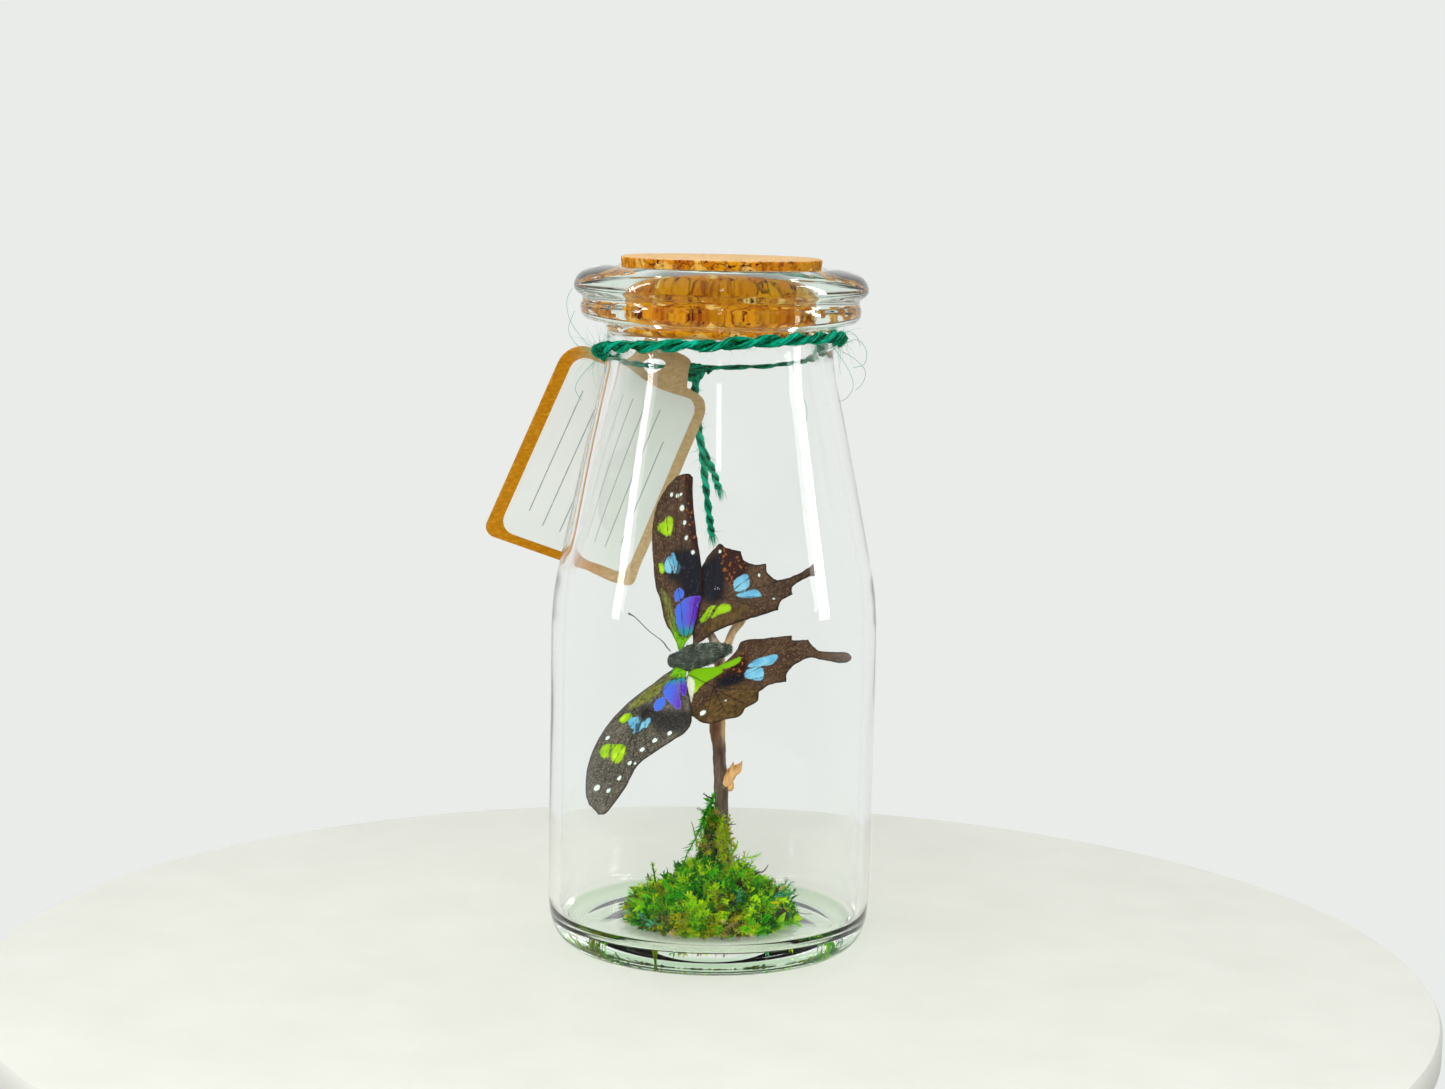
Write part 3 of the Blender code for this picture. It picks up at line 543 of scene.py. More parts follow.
class Sheaf:
    """Many small tubes, blades and leaves gathered into one mesh, each with a tone."""

    def __init__(self):
        self.corners, self.faces, self.tones = [], [], []

    def skin(self, rings, sides, closed=False):
        """Faces over the last rings of corners: a tube with flat ends, or a closed loop."""
        start = len(self.corners) - rings * sides
        for k in range(rings if closed else rings - 1):
            a, b = start + k * sides, start + (k + 1) % rings * sides
            for j in range(sides):
                i = (j + 1) % sides
                self.faces.append((a + j, a + i, b + i, b + j))
        if not closed:
            self.faces.append(tuple(range(start + sides - 1, start - 1, -1)))
            self.faces.append(tuple(range(start + (rings - 1) * sides, start + rings * sides)))

    def tube(self, path, radii, sides, tone):
        for (_, side, rise), place, radius in zip(frames_along(path), path, radii):
            for j in range(sides):
                self.corners.append(place + around(side, rise, math.tau * j / sides) * radius)
                self.tones.append(tone)
        self.skin(len(path), sides)

    def blade(self, root, tip, width, tone, bow=(0, 0, 0)):
        """A hair: a thin three-cornered needle with one bend."""
        middle = (root + tip) / 2 + Vector(bow)
        self.tube([root, middle, tip], [width, width * 0.75, width * 0.15], 3, tone)

    def leaf(self, root, tip, across, tone):
        """A pointed leaf, folded along its middle."""
        start = len(self.corners)
        middle = root.lerp(tip, 0.45)
        fold = (tip - root).cross(across).normalized() * across.length * 0.5
        self.corners += [root, middle + across + fold, tip, middle - across + fold]
        self.tones += [tone - 0.15, tone, tone + 0.18, tone]
        self.faces += [(start, start + 2, start + 1), (start, start + 3, start + 2)]

    def ribbon(self, path, widths, tone):
        """A flat strip that follows a path."""
        start = len(self.corners)
        for (_, side, rise), place, width in zip(frames_along(path), path, widths):
            lift = rise * width * 0.3
            self.corners += [place - side * width + lift, place, place + side * width + lift]
            self.tones += [tone, tone - 0.12, tone + 0.05]
        for k in range(len(path) - 1):
            a = start + 3 * k
            self.faces += [(a, a + 1, a + 4, a + 3), (a + 1, a + 2, a + 5, a + 4)]

    def shape(self):
        """Its corners, faces and tones, to be planted many times."""
        return np.array([tuple(c) for c in self.corners]), self.faces, np.array(self.tones)

    def to_piece(self, name, material, slot, *nodes, sharp_angle=None):
        data = mesh_from(name, self.corners, self.faces, sharp_angle, self.tones)
        return add_piece(name, data, material, slot, *nodes)


def lathe(name, profile, steps, waviness=0.0):
    """A profile of (radius, height) turned about Z. Points at radius 0 become single corners."""
    corners, faces, rings = [], [], []
    for radius, height in profile:
        if radius == 0:
            rings.append([len(corners)])
            corners.append((0, 0, height))
            continue
        rings.append(range(len(corners), len(corners) + steps))
        for j in range(steps):
            a = math.tau * j / steps
            spot = Vector((math.cos(a) * 1.3, math.sin(a) * 1.3, height * 0.035))
            r = radius + waviness * noise.noise(spot)
            corners.append((r * math.cos(a), r * math.sin(a), height))
    for low, high in zip(rings, rings[1:]):
        for j in range(steps):
            i = (j + 1) % steps
            if len(low) == 1:
                faces.append((low[0], high[i], high[j]))
            elif len(high) == 1:
                faces.append((low[j], low[i], high[0]))
            else:
                faces.append((low[j], low[i], high[i], high[j]))
    return mesh_from(name, corners, faces, closed=True)


def inside(points, edge):
    """For many flat points, whether each is inside a closed line of points."""
    found = np.zeros(len(points), bool)
    x, y = points.T
    for (ax, ay), (bx, by) in zip(edge, edge[1:] + edge[:1]):
        if ay != by:
            found ^= ((ay > y) != (by > y)) & (x < ax + (bx - ax) * (y - ay) / (by - ay))
    return found


def distance(points, line, closed=True):
    """For many flat points, how far each is from a line of points."""
    line = np.array(line, float)
    starts = line if closed else line[:-1]
    ends = np.roll(line, -1, 0) if closed else line[1:]
    best = np.full(len(points), 1e9)
    for start, end in zip(starts, ends):
        step = end - start
        t = np.clip((points - start) @ step / max(step @ step, 1e-12), 0, 1)
        best = np.minimum(best, np.hypot(*(points - start - t[:, None] * step).T))
    return best


def flat_net(edges, grid, clearance):
    """Points and triangles inside the first edge and outside the others, which are holes.

    The grid's points are used where they are at least the clearance away from every edge.
    """
    def within(points):
        found = inside(points, edges[0])
        for hole in edges[1:]:
            found &= ~inside(points, hole)
        return found

    kept = within(grid)
    points, links = [], []
    for edge in edges:
        kept &= distance(grid, edge) > clearance
        first = len(points)
        points += edge
        links += [(first + k, first + (k + 1) % len(edge)) for k in range(len(edge))]
    points += [tuple(p) for p in grid[kept]]
    inside_links, merge_distance = 1, 0.0001
    found = geometry.delaunay_2d_cdt([Vector(p) for p in points], links, [], inside_links, merge_distance)
    spots = np.array([tuple(v) for v in found[0]])
    stays = within(np.array([spots[face].mean(0) for face in found[2]]))
    return spots, [tuple(face) for face, stay in zip(found[2], stays) if stay]


def two_sided(flat, count):
    """Faces for both sides of a flat net and for its rims, where the back's corners come second."""
    faces = []
    for face in flat:
        faces += [face, tuple(count + k for k in reversed(face))]
    uses = {(a, b) for face in flat for a, b in zip(face, face[1:] + face[:1])}
    return faces + [(b, a, count + a, count + b) for a, b in uses if (b, a) not in uses]


# ---------------------------------------------------------------- twine and its free ends
LOOP_HEIGHT, LOOP_LIFT_RIGHT, LOOP_LIFT_FRONT, LOOP_SAG = 117.5, 1.7, 3.4, 0.95
BULGE, HOLE_ANGLE, BULGE_END, KNOT_ANGLE = 2.6, 216.0, 158.0, 191.0
TWINE_RADIUS, TAIL_RADIUS, GAP = 1.2, 0.9, 0.3
LOOP_STEPS, LOOP_TWISTS, TAIL_TWISTS, KNOT_TWISTS = 720, 12, 5.5, 2.6
# A ply's radius, and how far it winds from the cord's middle line
LOOP_PLY, TAIL_PLY, KNOT_PLY = (0.60, 0.50), (0.50, 0.38), (0.52, 0.42)
PLY_SIDES, PLY_RIDGES, LAY_REACH, LAY_WIDTH = 10, 4, 1.12, 0.12
LONG_TAIL = [
    (-5.4, 29.0, 109.4), (-4.9, 29.2, 105.0), (-4.2, 29.9, 99.0), (-3.2, 30.4, 93.0), (-2.4, 31.0, 87.0),
    (-1.5, 32.2, 81.0), (-0.8, 32.8, 77.0),
]
SHORT_TAIL = [
    (-8.2, 30.4, 114.0), (-9.4, 31.5, 112.4), (-8.7, 32.2, 108.8), (-6.6, 32.5, 104.0), (-4.6, 32.6, 98.5),
    (-2.6, 32.8, 93.5), (-0.7, 32.9, 89.8), (0.3, 32.8, 86.8),
]
SHOULDER = [
    (21.9, 121.0), (22.2, 114.8), (23.7, 107.5), (26.1, 97.0), (28.5, 85.3), (30.2, 76.8), (31.3, 71.3),
]
# The long loops that stand off at both ends of the photo's twine
STRAY_FIBRES = [
    [(-23.0, -6.0, 116.5), (-26.5, -5.0, 119.5), (-29.0, -4.0, 123.0), (-29.6, -4.0, 126.5),
     (-28.6, -4.5, 129.0)],
    [(-24.0, -5.0, 117.0), (-27.5, -3.0, 118.0), (-29.3, -2.0, 121.0), (-28.2, -2.0, 124.5)],
    [(-23.5, -7.0, 115.5), (-26.0, -8.0, 113.0), (-27.6, -7.0, 110.0), (-26.4, -6.0, 107.5)],
    [(23.0, -7.0, 119.0), (26.0, -7.0, 120.4), (28.0, -7.0, 118.6), (27.8, -7.0, 115.8),
     (25.6, -7.0, 115.0)],
    [(23.5, -6.0, 118.0), (26.0, -6.0, 116.6), (28.0, -6.0, 114.4), (27.6, -6.0, 112.0),
     (26.2, -6.0, 110.6)],
    [(22.0, -9.0, 118.6), (24.6, -10.0, 114.8), (25.6, -10.0, 111.8), (24.6, -10.0, 109.6),
     (23.0, -10.0, 108.6)],
    [(13.5, -21.0, 117.0), (14.5, -22.5, 113.0), (16.5, -22.8, 108.0), (15.6, -23.5, 103.5)],
    [(21.5, -10.0, 119.4), (23.6, -11.0, 122.0), (25.6, -11.0, 121.6), (26.8, -11.0, 119.4)],
]
# Where more short fibres stand off, at those ends: (degrees round the neck, count, longest)
THICK_FUZZ = [(88, 60, 7.0), (100, 30, 5.5), (264, 60, 8.0), (282, 30, 6.0)]
KNOT_TURNS = [  # the two ends tied over each other in a few short turns, from the knot's middle
    [(-3.4, 0.2, 1.6), (-2.0, 1.6, 2.2), (0.2, 2.2, 0.9), (1.2, 1.8, -1.2), (0.0, 0.6, -2.4),
     (-1.6, 0.6, -1.4)],
    [(3.0, 0.2, -1.2), (1.6, 1.9, -0.2), (-0.6, 2.3, 1.0), (-2.4, 1.4, 0.4), (-2.6, 0.3, -1.2),
     (-0.8, 0.4, -2.6)],
    [(-0.6, 0.4, 1.9), (0.9, 1.3, 1.4), (1.6, 1.2, -0.4), (0.6, 1.0, -1.9), (-0.2, 1.9, -3.0)],
    [(-3.1, 1.2, 0.6), (-1.2, 2.4, -0.6), (0.4, 2.2, -2.0), (-0.4, 1.4, -3.4), (-0.3, 1.0, -5.0)],
]


def neck_radius(height):
    for (r_top, top), (r_low, low) in zip(SHOULDER, SHOULDER[1:]):
        if low <= height <= top:
            return r_low + (r_top - r_low) * (height - low) / (top - low)
    return SHOULDER[0][0]


def loop_point(degrees):
    """A point of the twine's middle line round the neck, as in the CAD."""
    a = math.radians(degrees)
    height = LOOP_HEIGHT + LOOP_LIFT_RIGHT * math.sin(a) + LOOP_LIFT_FRONT * math.cos(a)
    height -= LOOP_SAG * math.cos(2 * a)
    bulges = ramp(degrees, BULGE_END - 22, BULGE_END)
    out = BULGE * bulges * (1 - ramp(degrees, HOLE_ANGLE - 5, HOLE_ANGLE + 5))
    radius = neck_radius(height - TWINE_RADIUS) + GAP + TWINE_RADIUS + out
    return Vector((radius * math.sin(a), -radius * math.cos(a), height))


def add_ply(sheaf, path, frames, radius, reach, twists, phase, closed=False):
    """One ply of a twisted cord, with fibre ridges along it. Its tone paints shade into the grooves between
    plies and ridges, and a highlight on the ply's outer crown.
    """
    count = len(path)
    for k, (place, (_, side, rise)) in enumerate(zip(path, frames)):
        turn = math.tau * twists * (k / (count if closed else count - 1)) + phase
        middle = place + around(side, rise, turn) * reach
        lump = noise.noise(middle * 0.55 + Vector((phase, 0, 0)))
        for j in range(PLY_SIDES):
            b = math.tau * j / PLY_SIDES
            strand = math.sin(PLY_RIDGES * b - 6 * turn)
            grain = noise.noise(middle * 1.9 + Vector((b, 0, 0)))
            ridge = 1 + 0.10 * strand + 0.35 * lump + 0.16 * grain
            spot = middle + around(side, rise, b) * radius * ridge
            # the tone is painted shade deep in the grooves and a painted highlight where the ply stands out,
            # with random mottling over both
            away = (spot - place).length / (reach + radius)
            shade = 0.22 * strand + 0.35 * noise.noise(spot * 1.4)
            sheaf.corners.append(spot)
            sheaf.tones.append(clamp(0.95 * away**3 - 0.05 + shade))
    sheaf.skin(count, PLY_SIDES, closed)


def add_lay(sheaf, rng, path, frames, twists, count):
    """Fibres that lie along the plies of a closed cord and lift off a little at their ends."""
    total = len(path)
    for _ in range(count):
        first = rng.randrange(total)
        run = rng.randrange(8, 22)
        phase = rng.choice((0, math.pi)) + rng.uniform(-0.75, 0.75)
        lift = rng.uniform(0.0, 0.30)
        line = []
        for k in range(0, run, 2):
            place, (_, side, rise) = path[(first + k) % total], frames[(first + k) % total]
            turn = math.tau * twists * (first + k) / total + phase
            far = LAY_REACH - 0.25 * math.sin(phase) ** 2 + lift * (2 * k / run - 1) ** 2
            far += rng.uniform(-0.03, 0.03)
            line.append(place + around(side, rise, turn) * far)
        last = len(line) - 1
        radii = [LAY_WIDTH * (1 - 0.6 * abs(2 * k / last - 1)) for k in range(len(line))]
        sheaf.tube(line, radii, 3, rng.choice((0.0, 0.25, 0.7, 0.95, 1.1)))


def add_fuzz(sheaf, rng, path, radius, count, longest, width):
    """Loose fibres that stand off a cord and curl."""
    frames = frames_along(path)
    steps = 7
    for _ in range(count):
        k = rng.randrange(1, len(path) - 1)
        along, side, rise = frames[k]
        away = around(side, rise, rng.uniform(0, math.tau))
        heading = (along * rng.uniform(-1.4, 1.4) + away * rng.uniform(0.4, 1.0)).normalized()
        bend = any_way(rng) * 0.5
        length = longest * rng.random() ** 2.2 + 0.5
        line = [path[k] + away * radius * 0.8]
        for _ in range(steps):
            heading = (heading + bend / steps * 2).normalized()
            line.append(line[-1] + heading * length / steps)
        radii = [width * (1 - 0.6 * s / steps) for s in range(steps + 1)]
        sheaf.tube(line, radii, 3, rng.uniform(0.35, 1.0))


def make_tail(name, node, route, seed):
    """A free end of the twine: two plies on the CAD's route, fraying into loose fibres."""
    path = smooth(route, 12)
    sheaf = Sheaf()
    frames = frames_along(path)
    for phase in (0, math.pi):
        add_ply(sheaf, path, frames, *TAIL_PLY, TAIL_TWISTS, phase)
    tail = sheaf.to_piece(name, "jute_twine", "twine", node)
    rng = random.Random(seed)
    fray = Sheaf()
    add_fuzz(fray, rng, path, radius=0.8, count=90, longest=2.6, width=0.04)
    end, (along, side, rise) = path[-3], frames[-3]
    for _ in range(34):
        spread = side * rng.uniform(-1, 1) + rise * rng.uniform(-1, 1)
        far = end + along * rng.uniform(1.5, 3.6) + spread * rng.uniform(0.2, 1.3)
        fray.blade(end + spread * 0.35, far, 0.07, rng.uniform(0.3, 0.9), spread * 0.3)
    tuft = fray.to_piece(name + "_fray", "jute_hair", "twine")


def make_twine():
    path = []
    for k in range(LOOP_STEPS):
        place = loop_point(360 * k / LOOP_STEPS)
        place.z += 0.30 * noise.noise(place * 0.22)
        path.append(place)
    frames = []
    for k in range(LOOP_STEPS):
        along = (path[(k + 1) % LOOP_STEPS] - path[k - 1]).normalized()
        side = along.cross(Vector((0, 0, 1))).normalized()
        frames.append((along, side, side.cross(along)))
    rope = Sheaf()
    for phase in (0, math.pi):
        add_ply(rope, path, frames, *LOOP_PLY, LOOP_TWISTS, phase, closed=True)
    add_lay(rope, random.Random(3), path, frames, LOOP_TWISTS, count=900)
    add_knot(rope)
    rope.to_piece("twine_rope", "jute_twine", "twine", "twine_loop")
    rng = random.Random(7)
    fuzz = Sheaf()
    add_fuzz(fuzz, rng, path, radius=1.1, count=620, longest=2.2, width=0.035)
    for degrees, count, longest in THICK_FUZZ:
        near = [path[(degrees + s) * LOOP_STEPS // 360 % LOOP_STEPS] for s in range(-7, 8)]
        add_fuzz(fuzz, rng, near, 1.1, count, longest, width=0.03)
    for curl in STRAY_FIBRES:
        line = smooth(curl, 6)
        fuzz.tube(line, [0.045] * len(line), sides=3, tone=0.5)
    fuzz.to_piece("twine_fuzz", "jute_hair", "twine")


def add_knot(rope):
    middle = loop_point(KNOT_ANGLE) + Vector((0, 1.0, -0.4))
    for start, turn in enumerate(KNOT_TURNS):
        path = smooth([middle + Vector(p) for p in turn], 10)
        frames = frames_along(path)
        for phase in (0, math.pi):
            add_ply(rope, path, frames, *KNOT_PLY, KNOT_TWISTS, start + phase)


# ---------------------------------------------------------------- bottle and cork
# Profiles of (radius, height)
LIP = [
    (19.9, 132.4), (20.4, 133.2), (21.4, 133.5), (22.8, 133.5), (25.2, 133.0), (27.2, 132.1), (28.3, 130.7),
    (28.55, 129.2), (27.9, 128.3), (27.0, 127.6), (26.9, 126.7), (27.25, 125.6), (27.0, 124.2),
    (26.0, 123.2), (24.4, 122.8), (22.7, 122.2), (21.95, 121.0),
]
OUTSIDE = [
    (21.95, 121.0), (21.95, 118.0), (22.25, 114.5), (22.9, 111.0), (23.75, 107.3), (26.1, 97.0),
    (28.5, 85.3), (30.2, 76.8), (31.25, 71.3), (31.75, 66.0), (31.9, 60.0), (31.9, 38.0), (31.9, 16.0),
    (31.75, 9.5), (31.45, 5.9), (30.5, 3.0), (29.0, 1.1), (27.2, 0.25), (25.6, 0.0), (24.6, 0.06),
    (22.0, 0.4), (17.0, 1.05), (11.0, 1.7), (5.0, 2.1), (0.0, 2.2),
]
INSIDE = [
    (0.0, 5.0), (12.0, 5.0), (21.0, 5.0), (25.6, 5.05), (27.9, 5.5), (29.0, 6.8), (29.45, 9.0),
    (29.5, 20.0), (29.5, 40.0), (29.45, 62.0), (28.9, 71.3), (27.8, 76.8), (26.1, 85.3), (23.7, 97.0),
    (21.3, 107.5), (20.1, 112.5), (19.6, 116.0), (19.0, 119.0), (18.7, 122.0), (18.75, 126.0),
    (19.3, 130.5),
]
CORK = [
    (0, 135.5), (19.0, 135.45), (19.45, 135.2), (19.5, 134.9), (19.2, 132.4), (18.7, 130.5), (18.4, 127.6),
    (18.5, 126.6), (18.55, 122.0), (18.2, 121.2), (0, 121.2),
]
CORK_FACE, CORK_RIM, CORK_PRESSED = 135.3, 131.5, (121.6, 126.8)
GLASS_SIDES, GLASS_WAVINESS, CORK_SIDES, CORK_STEP = 192, 0.10, 260, 0.4


def curve_profile(points, per_span):
    return [(max(0.0, r), max(0.0, z)) for r, z in smooth_flat(points, per_span)]


def make_bottle():
    profile = curve_profile(INSIDE, 5)[:-1] + curve_profile(LIP, 5)[:-1] + curve_profile(OUTSIDE, 6)
    data = lathe("glass_bottle", profile, GLASS_SIDES, GLASS_WAVINESS)
    add_piece("glass_bottle", data, "bottle_glass", "glass", "bottle")


def make_cork():
    """The cork. Low in the neck its high granules press on the glass, which shows it wider there."""
    profile = []
    for (r0, z0), (r1, z1) in zip(CORK, CORK[1:]):
        steps = max(1, round(math.hypot(r1 - r0, z1 - z0) / CORK_STEP))
        profile += [(r0 + (r1 - r0) * k / steps, z0 + (z1 - z0) * k / steps) for k in range(steps)]
    data = lathe("cork_stopper", profile + [CORK[-1]], CORK_SIDES)
    for v in data.vertices:
        spot = v.co / MM
        outward = Vector((spot.x, spot.y, 0)).normalized()
        if spot.z > CORK_FACE:
            outward = Vector((0, 0, 1))
        pit = max(0.0, noise.noise(spot * 0.9) - 0.35) * 1.2 + 0.05 * abs(noise.noise(spot * 2.6))
        press = noise.noise(Vector((spot.x, spot.y, spot.z * 1.2)) * 0.5) + 0.12
        if CORK_PRESSED[0] < spot.z < CORK_PRESSED[1] and press > 0:
            v.co += outward * min(0.42, press * 6) * MM
        else:
            v.co -= outward * min(0.35 if spot.z > CORK_RIM else 0.15, pit) * MM
    add_piece("cork_stopper", data, "pressed_cork", "cork", "cork")


# ---------------------------------------------------------------- tag
TAG_CENTRE, TAG_YAW, TAG_LEAN, TAG_ROLL = (-24.3, 22.6, 92.5), 17.0, 12.0, 20.6
TAG_WIDTH, TAG_LENGTH, TAG_CORNER, TAG_FOOT_CORNER = 33.0, 43.4, 5.2, 2.3
HEAD_WIDTH, HEAD_TAPER, HEAD_LENGTH, HEAD_CORNER = 19.6, 1.6, 8.8, 4.0
TAG_THICKNESS, HOLE_RADIUS, HOLE_RISE = 0.6, 3.1, 2.1
LABEL_SIDE, LABEL_TOP, LABEL_FOOT, LABEL_CORNER, LABEL_THICKNESS = 2.6, 2.1, 1.9, 3.2, 0.2
LABEL_GAP, RULE_GAP, SHEET_SPACING, SHARP_EDGE = 0.06, 0.02, 1.1, 40
# Plain ruled lines where the photo has print: (across the label, low end, high end)
RULES = [(-9.5, -14, 13), (-5.6, -16, 15), (-1.7, -16, 15), (2.2, -16, 15), (6.1, -16, 15), (9.8, -14, 9)]
RULE_HALF_WIDTH, RULE_STEPS = 0.13, 24


def arc(centre, radius, start, steps=8):
    """A quarter of a circle."""
    angles = [math.radians(start + 90 * k / steps) for k in range(steps + 1)]
    return [(centre[0] + radius * math.cos(a), centre[1] + radius * math.sin(a)) for a in angles]


def tag_frame():
    turns = Matrix.Identity(4)
    for degrees, axis in ((TAG_YAW, "Z"), (TAG_LEAN, "X"), (90, "X"), (-TAG_ROLL, "Z")):
        turns = turns @ Matrix.Rotation(math.radians(degrees), 4, axis)
    return Matrix.Translation(TAG_CENTRE) @ turns


def tag_outline():
    half, top, foot = TAG_WIDTH / 2, TAG_LENGTH / 2, HEAD_WIDTH / 2
    crown, narrow = top + HEAD_LENGTH, foot - HEAD_TAPER
    edge = arc((half - TAG_CORNER, top - TAG_CORNER), TAG_CORNER, 0) + [(foot, top)]
    edge += arc((narrow - HEAD_CORNER, crown - HEAD_CORNER), HEAD_CORNER, 0)
    edge += arc((HEAD_CORNER - narrow, crown - HEAD_CORNER), HEAD_CORNER, 90) + [(-foot, top)]
    edge += arc((TAG_CORNER - half, top - TAG_CORNER), TAG_CORNER, 90)
    edge += arc((TAG_FOOT_CORNER - half, TAG_FOOT_CORNER - top), TAG_FOOT_CORNER, 180)
    return edge + arc((half - TAG_FOOT_CORNER, TAG_FOOT_CORNER - top), TAG_FOOT_CORNER, 270)


def label_outline():
    r = LABEL_CORNER
    side, top, foot = TAG_WIDTH / 2 - LABEL_SIDE - r, TAG_LENGTH / 2 - LABEL_TOP, LABEL_FOOT - TAG_LENGTH / 2
    edge = arc((side, top - r), r, 0) + arc((-side, top - r), r, 90)
    return edge + arc((-side, foot + r), r, 180) + arc((side, foot + r), r, 270)


def card_bow(x, y):
    """How far the card and its label stand off flat."""
    return 0.10 * math.cos(x * 0.09) + 0.07 * noise.noise(Vector((x, y, 0)) * 0.07)


def sheet_mesh(edges, thickness, rise):
    """A card cut to its edges, as a fine net of points that is bowed a little."""
    low, high = np.min(edges[0], 0), np.max(edges[0], 0)
    grid = np.array([
        (u, v)
        for u in np.arange(low[0] + 0.3, high[0], SHEET_SPACING)
        for v in np.arange(low[1] + 0.3, high[1], SHEET_SPACING)
    ])
    spots, flat = flat_net(edges, grid, 0.35 * SHEET_SPACING)
    place = tag_frame()
    corners = [
        place @ Vector((x, y, rise + side * thickness / 2 + card_bow(x, y)))
        for side in (1, -1)
        for x, y in spots
    ]
    return corners, two_sided(flat, len(spots))


def make_tag():
    hole_y = TAG_LENGTH / 2 + HOLE_RISE
    ring = [math.tau * k / 32 for k in range(32)]
    hole = [(HOLE_RADIUS * math.cos(a), hole_y + HOLE_RADIUS * math.sin(a)) for a in ring]
    corners, faces = sheet_mesh([tag_outline(), hole], TAG_THICKNESS, 0)
    front = np.repeat((1, 0), len(corners) // 2)
    data = mesh_from("tag_card", corners, faces, SHARP_EDGE, front)
    add_piece("tag_card", data, "kraft_card", "card", "tag")
    rise = TAG_THICKNESS / 2 + LABEL_GAP + LABEL_THICKNESS / 2
    corners, faces = sheet_mesh([label_outline()], LABEL_THICKNESS, rise)
    data = mesh_from("tag_paper", corners, faces, SHARP_EDGE)
    add_piece("tag_paper", data, "label_paper", "paper", "tag_label")
    make_rules(rise + LABEL_THICKNESS / 2 + RULE_GAP)


def make_rules(rise):
    place = tag_frame()
    corners, faces = [], []
    for x, low, high in RULES:
        start = len(corners)
        for k in range(RULE_STEPS + 1):
            y = low + (high - low) * k / RULE_STEPS
            for dx in (-RULE_HALF_WIDTH, RULE_HALF_WIDTH):
                corners.append(place @ Vector((x + dx, y, rise + card_bow(x, y))))
        firsts = range(start, start + 2 * RULE_STEPS, 2)
        faces += [(a, a + 1, a + 3, a + 2) for a in firsts]
    add_piece("label_rules", mesh_from("label_rules", corners, faces), "faded_ink", "paper")


# ---------------------------------------------------------------- twig and bark crumb
FLOOR = 5.0
TWIG = [
    (2.6, 2.4, FLOOR + GAP), (2.4, 3.6, 14.8), (2.3, 5.2, 24.1), (2.1, 5.9, 29.0), (1.8, 6.4, 33.5),
    (1.5, 7.1, 37.9), (1.1, 7.7, 42.0), (1.1, 8.3, 47.0), (1.5, 8.7, 52.0), (1.1, 9.0, 55.9),
    (0.1, 9.2, 58.2), (-1.1, 9.4, 60.6),
]
TWIG_RADII = [1.3, 1.3, 1.3, 1.5, 1.35, 1.4, 1.6, 1.5, 1.4, 1.1, 1.0, 0.7]
STUB = [(2.3, 6.2, 30.6), (4.0, 6.4, 32.3), (5.0, 6.5, 33.4), (6.0, 6.6, 34.5)]
STUB_RADII = [1.5, 1.3, 0.85, 0.3]
STUB_SPLINTERS = [
    ([(3.6, 5.8, 31.6), (4.2, 5.7, 33.6), (4.5, 5.7, 35.0)], (0.55, 0.5, 0.1)),
    ([(4.6, 6.0, 32.6), (5.6, 6.0, 33.2), (6.2, 6.0, 35.2)], (0.6, 0.45, 0.1)),
    ([(3.0, 6.0, 30.0), (4.0, 5.8, 29.6), (4.5, 5.8, 30.8)], (0.6, 0.6, 0.2)),
]
BRANCH = [(2.8, 9.4, 57.7), (3.8, 9.6, 60.4), (5.4, 9.9, 62.3), (6.5, 10.1, 63.9), (7.6, 10.4, 65.6)]
BRANCH_RADII = [0.85, 0.85, 0.8, 0.7, 0.5]
CRUMB_SIZE, CRUMB_CENTRE = (2.0, 1.6, 1.25), (13.8, -4.6, 6.75)


def rough_tube(sheaf, points, radii, per_span, sides, depth, grain, seed):
    """A branch with furrows along it: its radius changes with noise that is drawn out lengthways."""
    path = smooth(points, per_span)
    widths = smooth_values(radii, per_span)
    travelled = 0.0
    for k, ((_, side, rise), place, width) in enumerate(zip(frames_along(path), path, widths)):
        travelled += (place - path[k - 1]).length if k else 0.0
        for j in range(sides):
            b = math.tau * j / sides
            spot = Vector((math.cos(b) * grain, math.sin(b) * grain, travelled * 0.32 + seed))
            bark = noise.noise(spot) + 0.5 * noise.noise(spot * 2.3) + 0.3 * noise.noise(spot * 5.1)
            sheaf.corners.append(place + around(side, rise, b) * (width * (0.97 + depth * bark)))
            sheaf.tones.append(0.5 + 0.5 * bark)
    sheaf.skin(len(path), sides)


def make_twig():
    stem, stub, fork = Sheaf(), Sheaf(), Sheaf()
    rough_tube(stem, TWIG, TWIG_RADII, per_span=12, sides=28, depth=0.13, grain=1.7, seed=3.0)
    stem.to_piece("twig_wood", "twig_bark", "bark", "twig_stem")
    rough_tube(stub, STUB, STUB_RADII, per_span=10, sides=18, depth=0.16, grain=1.5, seed=8.0)
    for splinter, radii in STUB_SPLINTERS:
        rough_tube(stub, splinter, radii, per_span=6, sides=9, depth=0.22, grain=2.5, seed=4.0)
    stub.to_piece("twig_stub", "peeled_stub", "bare_wood")
    rough_tube(fork, BRANCH, BRANCH_RADII, per_span=10, sides=18, depth=0.12, grain=1.5, seed=12.0)
    fork.to_piece("twig_fork", "pale_fork", "bare_wood", "twig_branch")


def make_crumb():
    crumb = bmesh.new()
    bmesh.ops.create_icosphere(crumb, subdivisions=5, radius=1)
    for v in crumb.verts:
        lump = 0.16 * noise.noise(v.co * 1.7) + 0.10 * noise.noise(v.co * 4.0)
        v.co *= 1 + (lump + 0.06 * noise.noise(v.co * 9.0))
        v.co = Vector(CRUMB_SIZE) * v.co + Vector(CRUMB_CENTRE)
    balls_to_piece(crumb, "bark_bit", "bark_crumb", "bark", "bark_crumb")


# ---------------------------------------------------------------- moss
MOSS_CENTRE, MOSS_RADIUS, MOSS_HEIGHT = (0.6, -0.8), 16.8, 9.5
